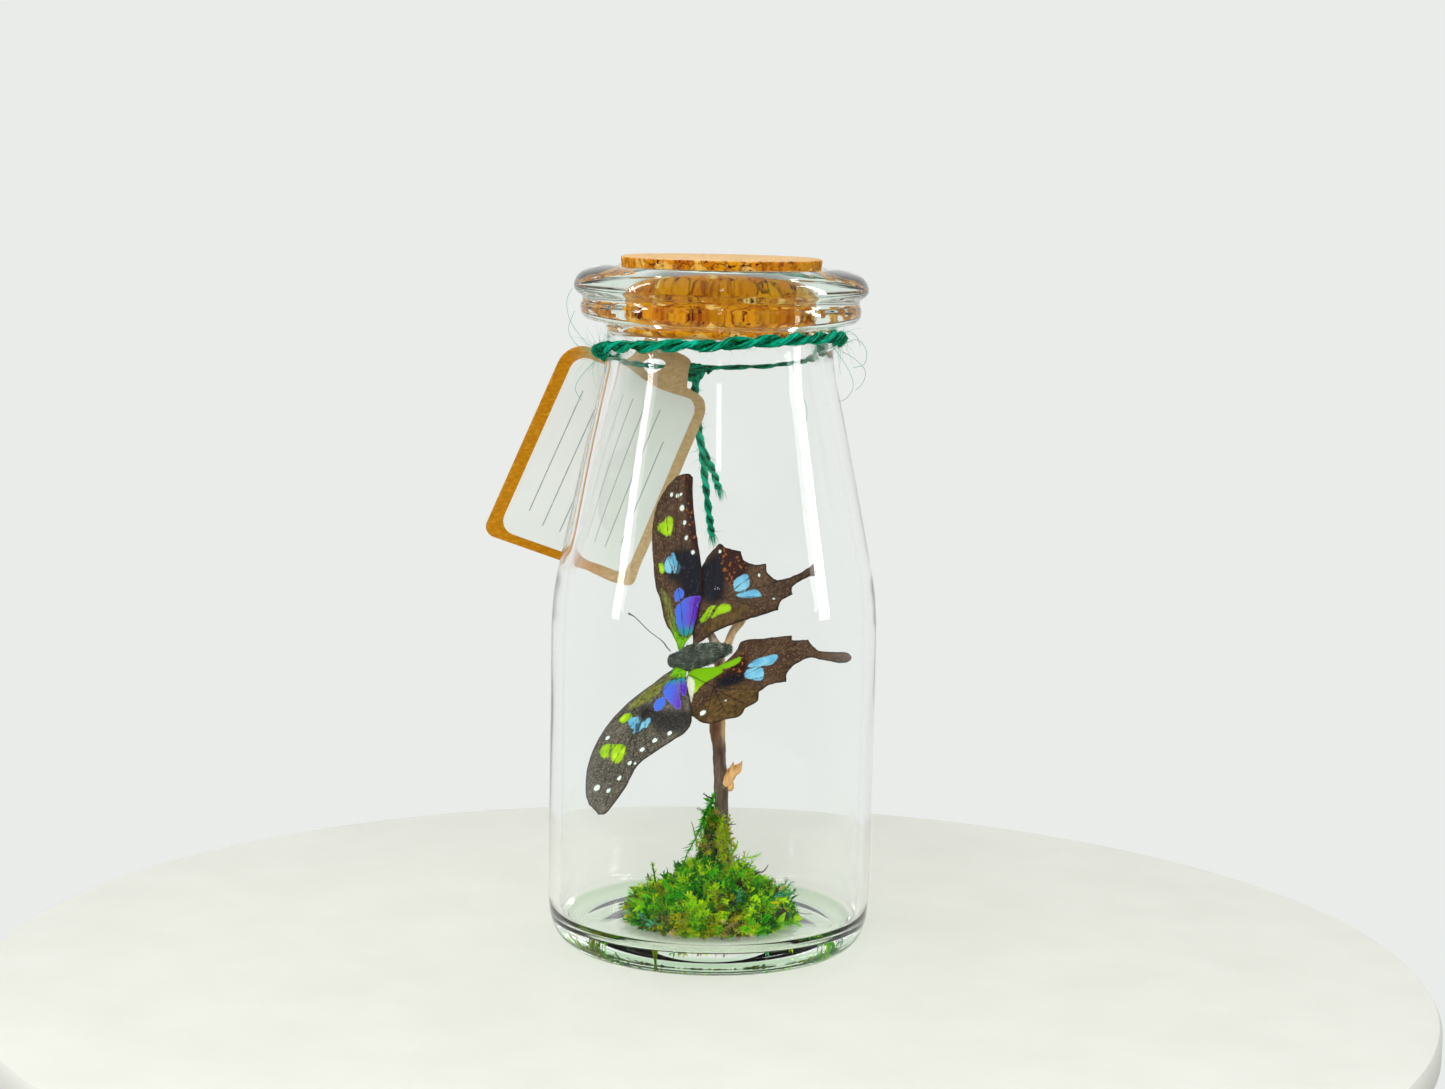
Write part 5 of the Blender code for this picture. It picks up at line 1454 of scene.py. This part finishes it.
# The markings' edges, in the same plane as the outlines. A round spot is (out, forward, radius)
MARKS = {
    "forewing_right": {
        "lime": [
            [(24.4, 7.6), (25.1, 7.2), (25.4, 5.9), (25.9, 5.5), (26.3, 4.8), (26.2, 3.8), (25.4, 3.3),
             (24.0, 3.2), (22.3, 3.8), (22.3, 4.9), (22.9, 6.0), (23.7, 7.3)],
            [(16.9, 6.8), (16.8, 5.5), (15.1, 5.1), (15.1, 6.3)],
        ],
        "blue": [
            [(15.3, 5.2), (17.1, 5.0), (18.0, 4.0), (16.4, 3.2), (14.8, 3.4)],
            [(18.1, 3.5), (18.8, 2.8), (16.8, 1.6), (16.0, 0.9), (14.7, 1.0), (14.5, 2.0), (15.1, 2.9)],
        ],
        "violet": [
            [(12.2, 1.2), (11.1, 2.2), (9.8, 2.5), (8.5, 2.3), (8.3, 1.4), (9.1, 0.4), (10.1, -0.1),
             (11.5, 0.2)],
            [(9.4, -4.2), (9.4, -2.1), (8.9, -0.5), (8.1, 0.7), (7.5, 1.6), (6.6, 2.3), (4.8, 2.2),
             (3.1, 1.7), (1.8, 0.8), (1.5, -0.5), (2.2, -1.8), (3.4, -3.1), (5.3, -4.1), (6.3, -4.1),
             (7.0, -3.3), (8.1, -4.4)],
        ],
        "white": [(30.8, 4.2, 0.36), (30.4, 2.5, 0.34), (30.6, 1.6, 0.25), (27.7, 1.1, 0.52),
                  (24.6, 0.1, 0.38), (21.4, -0.5, 0.38), (18.3, -2.3, 0.36)],
        "ink": [[(18.6, 2.9), (18.5, 1.0), (18.5, -0.5), (18.1, -2.9), (16.6, -4.7), (13.2, -5.6),
                 (8.7, -5.4), (9.2, -1.2), (11.3, 0.0), (13.7, 0.9), (14.6, 3.7)]],
        "ember": [[(34.3, 1.1), (34.1, -1.7), (25.3, -2.8), (21.3, -4.7), (18.0, -4.7), (18.6, -2.9),
                   (22.4, -1.0), (26.2, -0.4), (30.7, 0.2)]],
        "olive": [[(12.2, 6.0), (10.5, 4.4), (7.5, 3.3), (4.8, 2.7), (2.5, 2.7), (0.0, 2.6), (0.0, 3.2),
                   (4.2, 4.2), (8.3, 5.3)]],
        "leaf": [[(5.5, 2.7), (3.4, 2.3), (1.6, 1.2), (1.2, -0.8), (2.3, -2.4), (3.9, -4.0), (1.6, -3.4),
                  (-0.6, -1.3), (-1.3, 0.4), (-1.3, 2.4), (2.5, 3.0)]],
    },
    "forewing_left": {
        "lime": [
            [(19.0, 12.3), (18.0, 11.8), (17.7, 10.4), (19.0, 10.0), (21.2, 9.6), (21.2, 10.8),
             (20.2, 11.9)],
            [(18.0, 9.9), (18.1, 7.6), (19.3, 6.1), (20.9, 6.0), (22.4, 6.4), (22.7, 7.6), (21.3, 8.9)],
            [(11.9, 10.5), (10.7, 9.8), (10.3, 8.4), (11.3, 7.4), (12.9, 9.0)],
        ],
        "blue": [
            [(12.3, 8.2), (11.5, 7.5), (11.7, 5.1), (12.7, 4.7), (14.7, 6.0)],
            [(15.8, 5.6), (15.0, 5.7), (13.0, 4.6), (13.8, 3.6), (15.2, 4.4)],
            [(13.1, 4.2), (12.1, 3.3), (12.7, 2.5), (14.8, 3.2)],
        ],
        "violet": [
            [(6.8, 1.9), (7.5, 2.9), (8.8, 3.2), (10.1, 2.6), (10.5, 1.7), (9.9, 0.8), (8.6, 0.5),
             (7.5, 1.1)],
            [(2.3, 0.4), (3.0, 2.1), (5.0, 2.2), (6.3, 1.7), (8.1, 0.0), (9.8, -1.9), (10.7, -3.1),
             (9.7, -3.4), (7.9, -2.7), (5.2, -1.1)],
            [(2.2, 0.1), (2.2, -1.6), (4.0, -2.8), (6.3, -3.4), (7.3, -3.3), (6.1, -2.1), (4.2, -0.9)],
        ],
        "white": [(16.2, 11.5, 0.38), (28.1, 10.0, 0.56), (29.0, 7.1, 0.38), (26.3, 5.4, 0.44),
                  (22.9, 4.1, 0.38), (23.1, 2.8, 0.22), (19.9, 2.2, 0.42), (17.9, 0.0, 0.42),
                  (16.5, -3.0, 0.4)],
        "ink": [[(9.4, 6.0), (9.6, 3.8), (10.8, 2.2), (11.2, -0.9), (11.6, -3.7), (11.9, -6.0),
                 (14.3, -6.9), (15.9, -5.2), (15.3, -0.5), (13.0, 1.9), (11.2, 4.6)]],
        "olive": [[(0.3, 1.6), (1.6, 2.8), (2.8, 4.4), (3.9, 5.9), (5.2, 7.0), (8.0, 9.0), (9.4, 8.2),
                   (7.1, 4.6), (6.2, 3.4), (3.5, 2.4), (1.8, 1.4)]],
        "leaf": [[(-1.3, 2.0), (-1.3, -1.6), (1.9, -2.0), (1.7, 1.4), (1.0, 1.9)]],
    },
    "hindwing_right": {
        "lime": [
            [(4.5, -3.3), (5.8, -4.8), (6.9, -6.5), (6.8, -7.8), (6.2, -6.9), (4.6, -5.6), (3.9, -3.9)],
            [(4.8, -6.3), (6.3, -7.9), (7.0, -8.9), (7.0, -10.5), (6.4, -11.4), (5.6, -11.1), (5.3, -9.8),
             (5.0, -7.9), (4.4, -6.5)],
        ],
        "blue": [
            [(11.8, -12.1), (12.4, -12.7), (13.1, -15.0), (12.3, -16.1), (10.7, -15.8), (10.1, -12.9)],
            [(9.2, -12.8), (9.5, -13.2), (10.1, -15.7), (10.2, -17.8), (8.3, -19.2), (8.1, -17.9),
             (8.3, -14.0)],
        ],
        "white": [(18.0, -8.8, 0.25), (12.6, -18.6, 0.2), (7.4, -22.0, 0.2)],
        "ink": [[(15.4, -4.7), (17.4, -8.3), (16.3, -9.4), (13.0, -9.6), (8.7, -8.7), (8.3, -5.1)]],
        "ember": [[(19.4, -8.7), (19.0, -10.8), (17.6, -13.8), (15.4, -15.7), (13.2, -15.0), (11.9, -12.1),
                   (12.2, -10.4), (15.0, -9.6)]],
        "umber": [[(3.4, -4.3), (4.6, -6.0), (6.1, -12.0), (6.6, -15.3), (4.6, -15.2), (3.0, -9.3),
                   (1.4, -4.6)]],
    },
    "hindwing_left": {
        "lime": [
            [(0.4, -1.2), (-1.0, -2.8), (-1.3, -5.9), (-0.7, -8.0), (0.7, -9.8), (2.1, -8.6), (3.4, -6.7),
             (4.5, -5.8), (6.2, -5.0), (3.2, -3.5), (1.4, -1.9)],
            [(-1.0, -7.5), (-1.4, -9.1), (-1.8, -10.7), (-2.5, -12.8), (-1.1, -13.0), (-0.1, -11.1),
             (0.1, -9.4)],
        ],
        "blue": [
            [(0.3, -15.1), (-0.9, -15.8), (-1.7, -17.5), (-2.0, -21.3), (0.4, -20.5), (0.4, -15.8)],
            [(2.0, -15.0), (0.9, -15.6), (1.0, -18.6), (3.1, -19.7), (4.5, -19.3), (3.2, -15.7)],
        ],
        "white": [(11.5, -8.6, 0.55), (8.9, -13.0, 0.15)],
        "ink": [[(1.8, -11.4), (1.8, -14.0), (3.3, -14.9), (4.6, -13.4), (4.4, -10.8), (2.8, -9.4)]],
        "ember": [[(-2.6, -12.9), (-2.9, -13.7), (-0.4, -14.8), (1.6, -14.5), (2.0, -11.7), (2.2, -9.7),
                   (0.5, -11.0)]],
        "umber": [[(8.1, -8.8), (5.7, -13.3), (5.5, -17.7), (7.9, -20.1), (12.0, -18.1), (14.4, -14.0),
                   (14.8, -10.9), (12.3, -7.2), (10.9, -7.4)]],
        "cream": [[(0.9, -1.3), (1.5, -2.4), (2.9, -3.9), (5.9, -4.7), (8.6, -4.9), (6.2, -3.3),
                   (3.1, -1.7)]],
    },
}


def insect_frame():
    """The insect's right, forward and up, as columns."""
    up = (UP - FORWARD * UP.dot(FORWARD)).normalized()
    return Matrix((FORWARD.cross(up), FORWARD, up)).transposed()


def insect_place(point):
    return INSECT_CENTRE + insect_frame() @ Vector(point)


def wing_frame(side):
    """(root, outward, forward, up) of one side's wing plane, as in the CAD."""
    d, p = (math.radians(v) for v in DIHEDRAL_PITCH[side])
    axes = insect_frame()
    out = axes @ Vector((side * math.cos(d), 0, math.sin(d)))
    lift = axes @ Vector((-side * math.sin(d), 0, math.cos(d)))
    ahead = axes @ Vector((0, 1, 0))
    right, forward, height = WING_ROOT
    root = insect_place((side * right, forward, height))
    return root, out, ahead * math.cos(p) - lift * math.sin(p), lift * math.cos(p) + ahead * math.sin(p)


def depth_in(points, shapes):
    """How deep each point lies inside the nearest of the shapes, or minus how far outside, in mm."""
    best = np.full(len(points), -9.0)
    for shape in shapes:
        if isinstance(shape, tuple):
            x, y, radius = shape
            depth = radius - np.hypot(points[:, 0] - x, points[:, 1] - y)
        else:
            edge = smooth_flat(shape + shape[:1], 4)[:-1]
            away = distance(points, edge)
            depth = np.where(inside(points, edge), away, -away)
        best = np.maximum(best, depth)
    return best


def wing_outline(name):
    """A wing's slightly ragged edge, drawn in under the body at its root."""
    outline = []
    for x, y in [spot for run in OUTLINES[name] for spot in smooth_flat(run, 6)[:-1]]:
        x -= 1.5 * (1 - ramp(x, 0.2, 3.0))
        ragged = [0.16 * noise.noise(Vector((x, y, seed)) * 1.3) for seed in (2, 7)]
        outline.append((x + ragged[0], y + ragged[1]))
    return outline


def wing_grid(outline):
    low, high = np.min(outline, 0), np.max(outline, 0)
    return np.array([
        (u + (row % 2) * WING_NET / 2, v)
        for row, v in enumerate(np.arange(low[1], high[1], WING_NET * 0.87))
        for u in np.arange(low[0], high[0], WING_NET)
    ])


def vein_distance(spots, name):
    """How far each point is from the nearest vein."""
    hub, bow, tips, lines = VEINS[name]
    beyond = [[hub, ((hub[0] + x) / 2 + bow[0], (hub[1] + y) / 2 + bow[1]), (x, y)] for x, y in tips]
    best = np.full(len(spots), 9.0)
    for line in lines + beyond:
        best = np.minimum(best, distance(spots, smooth_flat(line, 4), closed=False))
    return best


def make_wing(name, side, level, material):
    """A wing on one of the levels that keep fore and hind wings apart, with what its paint reads."""
    outline = wing_outline(name)
    spots, flat = flat_net([outline], wing_grid(outline), WING_CLEARANCE)
    from_rim, from_vein = distance(spots, outline), vein_distance(spots, name)
    thin = np.minimum(WING_THICKNESS / 2, RIM_THICKNESS + 0.12 * from_rim)
    root, out, ahead, up = wing_frame(side)
    corners = []
    for face in (1, -1):
        for k, (x, y) in enumerate(spots):
            fold = CAMBER * math.sin(math.pi * clamp(x / CAMBER_SPAN))
            ripple = 0.10 * noise.noise(Vector((x, y, 5.0 + level)) * 0.35) * min(1.0, from_rim[k])
            ridge = VEIN_HEIGHT * math.exp(-((from_vein[k] / VEIN_WIDTH) ** 2))
            z = level * WING_STEP + fold + ripple + face * thin[k] + ridge * face
            corners.append(root + out * x + ahead * y + up * z)
    data = mesh_from(name + "_scales", corners, two_sided(flat, len(spots)), closed=True)
    for key in TINTS:
        add_layer(data, key, np.tile(depth_in(spots, MARKS[name].get(key, [])), 2))
    for key, values in (("vein", from_vein), ("rim", from_rim), ("out", spots[:, 0]), ("ahead", spots[:, 1])):
        add_layer(data, key, np.tile(values, 2))
    add_layer(data, "upper", np.repeat((1, 0), len(spots)))
    add_piece(name + "_scales", data, material, "wing", name)


def make_body():
    """The trunk with its ringed abdomen, and short hair all over."""
    rng = random.Random(5)
    path = smooth([insect_place((right, forward, up)) for forward, _, right, up in COAT], 8)
    widths = smooth_values([radius for _, radius, _, _ in COAT], 8)
    start = len(path) * 0.62
    rings = [w * (1 + 0.02 * math.sin(k * 0.9) * ramp(k, start, start + 12)) for k, w in enumerate(widths)]
    core, hair = Sheaf(), Sheaf()
    core.tube(path, rings, sides=24, tone=0.5)
    core.to_piece("butterfly_core", "dark_fur", "fur", "butterfly_body")
    frames = frames_along(path)
    for _ in range(BODY_HAIRS):
        k = rng.randrange(2, len(path) - 2)
        along, side, rise = frames[k]
        away = around(side, rise, rng.uniform(0, math.tau))
        chest = k < len(path) * 0.6
        length = rng.uniform(0.5, 1.2) if chest else rng.uniform(0.3, 0.8)
        root = path[k] + away * rings[k] * 0.97
        sway = any_way(rng, 0.2)
        lift = rng.uniform(0.02, 0.16) + (0.35 if rng.random() < 0.06 else 0.0)
        tip = root + (away * lift + along * rng.uniform(0.6, 1.0) + sway) * length
        tone = clamp(0.30 + 0.40 * rng.random() ** 2 + 0.5 * noise.noise(root * 0.8))
        hair.blade(root, tip, 0.05, tone, away * 0.04)
    hair.to_piece("butterfly_hair", "fur_hair", "fur")


def make_eyes():
    eyes = bmesh.new()
    right, forward, up = EYE_PLACE
    for side in (1, -1):
        middle = insect_place((side * right, forward, up))
        for v in bmesh.ops.create_icosphere(eyes, subdivisions=3, radius=EYE_RADIUS)["verts"]:
            v.co = middle + insect_frame() @ (v.co * Vector((0.7, 1.0, 1.0)))
    balls_to_piece(eyes, "butterfly_eyes", "insect_eyes", "fur")


def make_antenna():
    """The antenna, ringed along its length and thicker towards its tip."""
    feeler = Sheaf()
    path = smooth([insect_place(p) for p in ANTENNA], 8)
    count = len(path)
    radii = [0.09 + 0.11 * ramp(k / count, 0.78, 0.96) + 0.010 * (k % 2) for k in range(count - 1)]
    feeler.tube(path, radii + [0.12], sides=10, tone=0.8)
    feeler.to_piece("feeler", "dark_fur", "fur", "antenna")


def make_leg(pair, side, word):
    forward = LEG_ROOTS[pair]
    knee = forward + LEG_REACH[pair]
    bent = [
        (side * 1.0, forward, -2.75), (side * 2.3, knee, -3.3),
        (side * 1.7, knee - 0.9, -4.1), (side * 1.0, knee - 1.7, -4.5),
    ]
    leg = Sheaf()
    path = smooth([insect_place(p) for p in bent], 5)
    count = len(path)
    radii = [LEG_RADIUS * (0.95 - 0.55 * k / count) for k in range(count)]
    leg.tube(path, radii, sides=8, tone=0.2)
    rng = random.Random(40 + pair * 2 + side)
    for place in path[2:-1]:
        spine = any_way(rng).normalized()
        leg.blade(place + spine * 0.1, place + spine * 0.32, width=0.02, tone=0.4)
    name = f"leg_{word}_{pair + 1}"
    leg.to_piece("jointed_" + name, "dark_fur", "fur", name)


# ---------------------------------------------------------------- table and light
# The round table top's profile, from its middle below to its middle above
TABLE = [
    (0, -8.0), (130, -8.0), (138.0, -7.5), (138.6, -6.0), (138.6, -1.5), (138.0, -0.4), (136.5, 0),
    (60, 0), (0, 0),
]
TABLE_SIDES, TABLE_PLACE = 160, (0, -16.0, 0)
# The lamps: place, aim, width and height, power, and whether they show in shine and glass alone
LAMPS = {
    "strip_left": ((-0.95, -0.31, 0.62), (0, 0, 0.62), (0.11, 1.15), 20, True),
    "strip_right": ((0.99, -0.12, 0.62), (0, 0, 0.62), (0.16, 1.15), 28, True),
    "strip_back": ((0.02, -1.3, 0.81), (0, 0, 0.33), (0.11, 0.54), 4.0, True),
    "key": ((-0.30, -0.42, 1.05), (0, 0, 0.05), (0.7, 0.7), 1.3, False),
    "fill": ((-0.15, -0.85, 0.42), (0, 0, 0.07), (0.5, 0.5), 5.2, False),
}
# The room's light: in front, low down and higher up, and behind the bottle
FRONT_BELOW, FRONT_ABOVE, BACK = (0.28, 0.285, 0.28), (0.88, 0.89, 0.88), (0.82, 0.84, 0.82)


def make_stage():
    """A plain pale round table top."""
    p = Paint("pale_table")
    grain = p.noise(45, 3.0)
    p.set(
        Base_Color=p.ramp(grain, (0.3, (0.72, 0.72, 0.66)), (0.7, (0.76, 0.76, 0.70))),
        Roughness=0.75,
        Normal=p.bump(grain, 0.15, 0.6),
    )
    data = lathe("table_top", TABLE, TABLE_SIDES)
    data.transform(Matrix.Translation(Vector(TABLE_PLACE) * MM))
    data.set_sharp_from_angle(angle=math.radians(SHARP_EDGE))
    table = bpy.data.objects.new("table_top", data)
    data.materials.append(p.material)
    scene.collection.objects.link(table)


def add_lamp(name, place, aim, size, power, shine_alone):
    data = bpy.data.lights.new(name, "AREA")
    data.shape = "RECTANGLE"
    data.size, data.size_y = size
    data.energy = power
    made = bpy.data.objects.new(name, data)
    made.location = place
    made.rotation_euler = (Vector(aim) - Vector(place)).to_track_quat("-Z", "Y").to_euler()
    scene.collection.objects.link(made)
    made.visible_camera = False
    made.visible_diffuse = not shine_alone
    return made


def make_light():
    """A bright room, dark low down in front, with a soft key and fill and three tall strips."""
    world = bpy.data.worlds.new("studio")
    scene.world = world
    world.use_nodes = True
    nodes, links = world.node_tree.nodes, world.node_tree.links
    way = nodes.new("ShaderNodeSeparateXYZ")
    links.new(nodes.new("ShaderNodeTexCoord").outputs["Generated"], way.inputs[0])

    def blend(direction, low, high, first, second):
        share = nodes.new("ShaderNodeMapRange")
        share.interpolation_type = "SMOOTHSTEP"
        share.inputs["From Min"].default_value = low
        share.inputs["From Max"].default_value = high
        links.new(way.outputs[direction], share.inputs["Value"])
        mixed = nodes.new("ShaderNodeMix")
        mixed.data_type = "RGBA"
        for socket, colour in ((mixed.inputs[6], first), (mixed.inputs[7], second)):
            if isinstance(colour, tuple):
                socket.default_value = (*colour, 1)
            else:
                links.new(colour, socket)
        links.new(share.outputs["Result"], mixed.inputs[0])
        return mixed.outputs[2]

    front = blend("Z", 0.34, 0.56, FRONT_BELOW, FRONT_ABOVE)
    links.new(blend("Y", -0.45, 0.35, front, BACK), nodes["Background"].inputs["Color"])
    lamps = {name: add_lamp(name, *row) for name, row in LAMPS.items()}
    lamps["fill"].visible_glossy = lamps["fill"].visible_transmission = False
    scene.view_settings.view_transform = "Standard"


def paint_all():
    paint_twine("jute_twine", 1.0)
    paint_twine("jute_hair", 1.25)
    paint_glass()
    paint_cork()
    paint_card()
    paint_paper()
    paint_rules()
    paint_bark()
    paint_bare_wood("peeled_stub", (0.48, 0.20, 0.06), (0.82, 0.47, 0.18), (0.94, 0.68, 0.36))
    paint_bare_wood("pale_fork", (0.36, 0.22, 0.11), (0.68, 0.46, 0.26), (0.86, 0.68, 0.48))
    paint_crumb()
    for name, row in TONED.items():
        paint_toned(name, *row)
    paint_wing("warm_scales", ground=(0.062, 0.032, 0.017), speck=(0.19, 0.11, 0.06), inked=1.0)
    paint_wing("grey_scales", ground=(0.076, 0.066, 0.050), speck=(0.24, 0.21, 0.16), inked=0.7)


def main():
    add_camera()
    paint_all()
    make_tail("twine_end_long", "twine_tail_long", LONG_TAIL, seed=11)
    make_tail("twine_end_short", "twine_tail_short", SHORT_TAIL, seed=12)
    make_stage()
    make_light()
    make_bottle()
    make_cork()
    make_twine()
    make_tag()
    make_twig()
    make_crumb()
    make_mat()
    make_moss()
    make_wing("forewing_right", side=1, level=1, material="warm_scales")
    make_wing("forewing_left", side=-1, level=1, material="grey_scales")
    make_wing("hindwing_right", side=1, level=-1, material="warm_scales")
    make_wing("hindwing_left", side=-1, level=-1, material="warm_scales")
    make_body()
    make_eyes()
    make_antenna()
    for pair in range(3):
        make_leg(pair, 1, "right")
        make_leg(pair, -1, "left")


main()
bpy.context.view_layer.update()
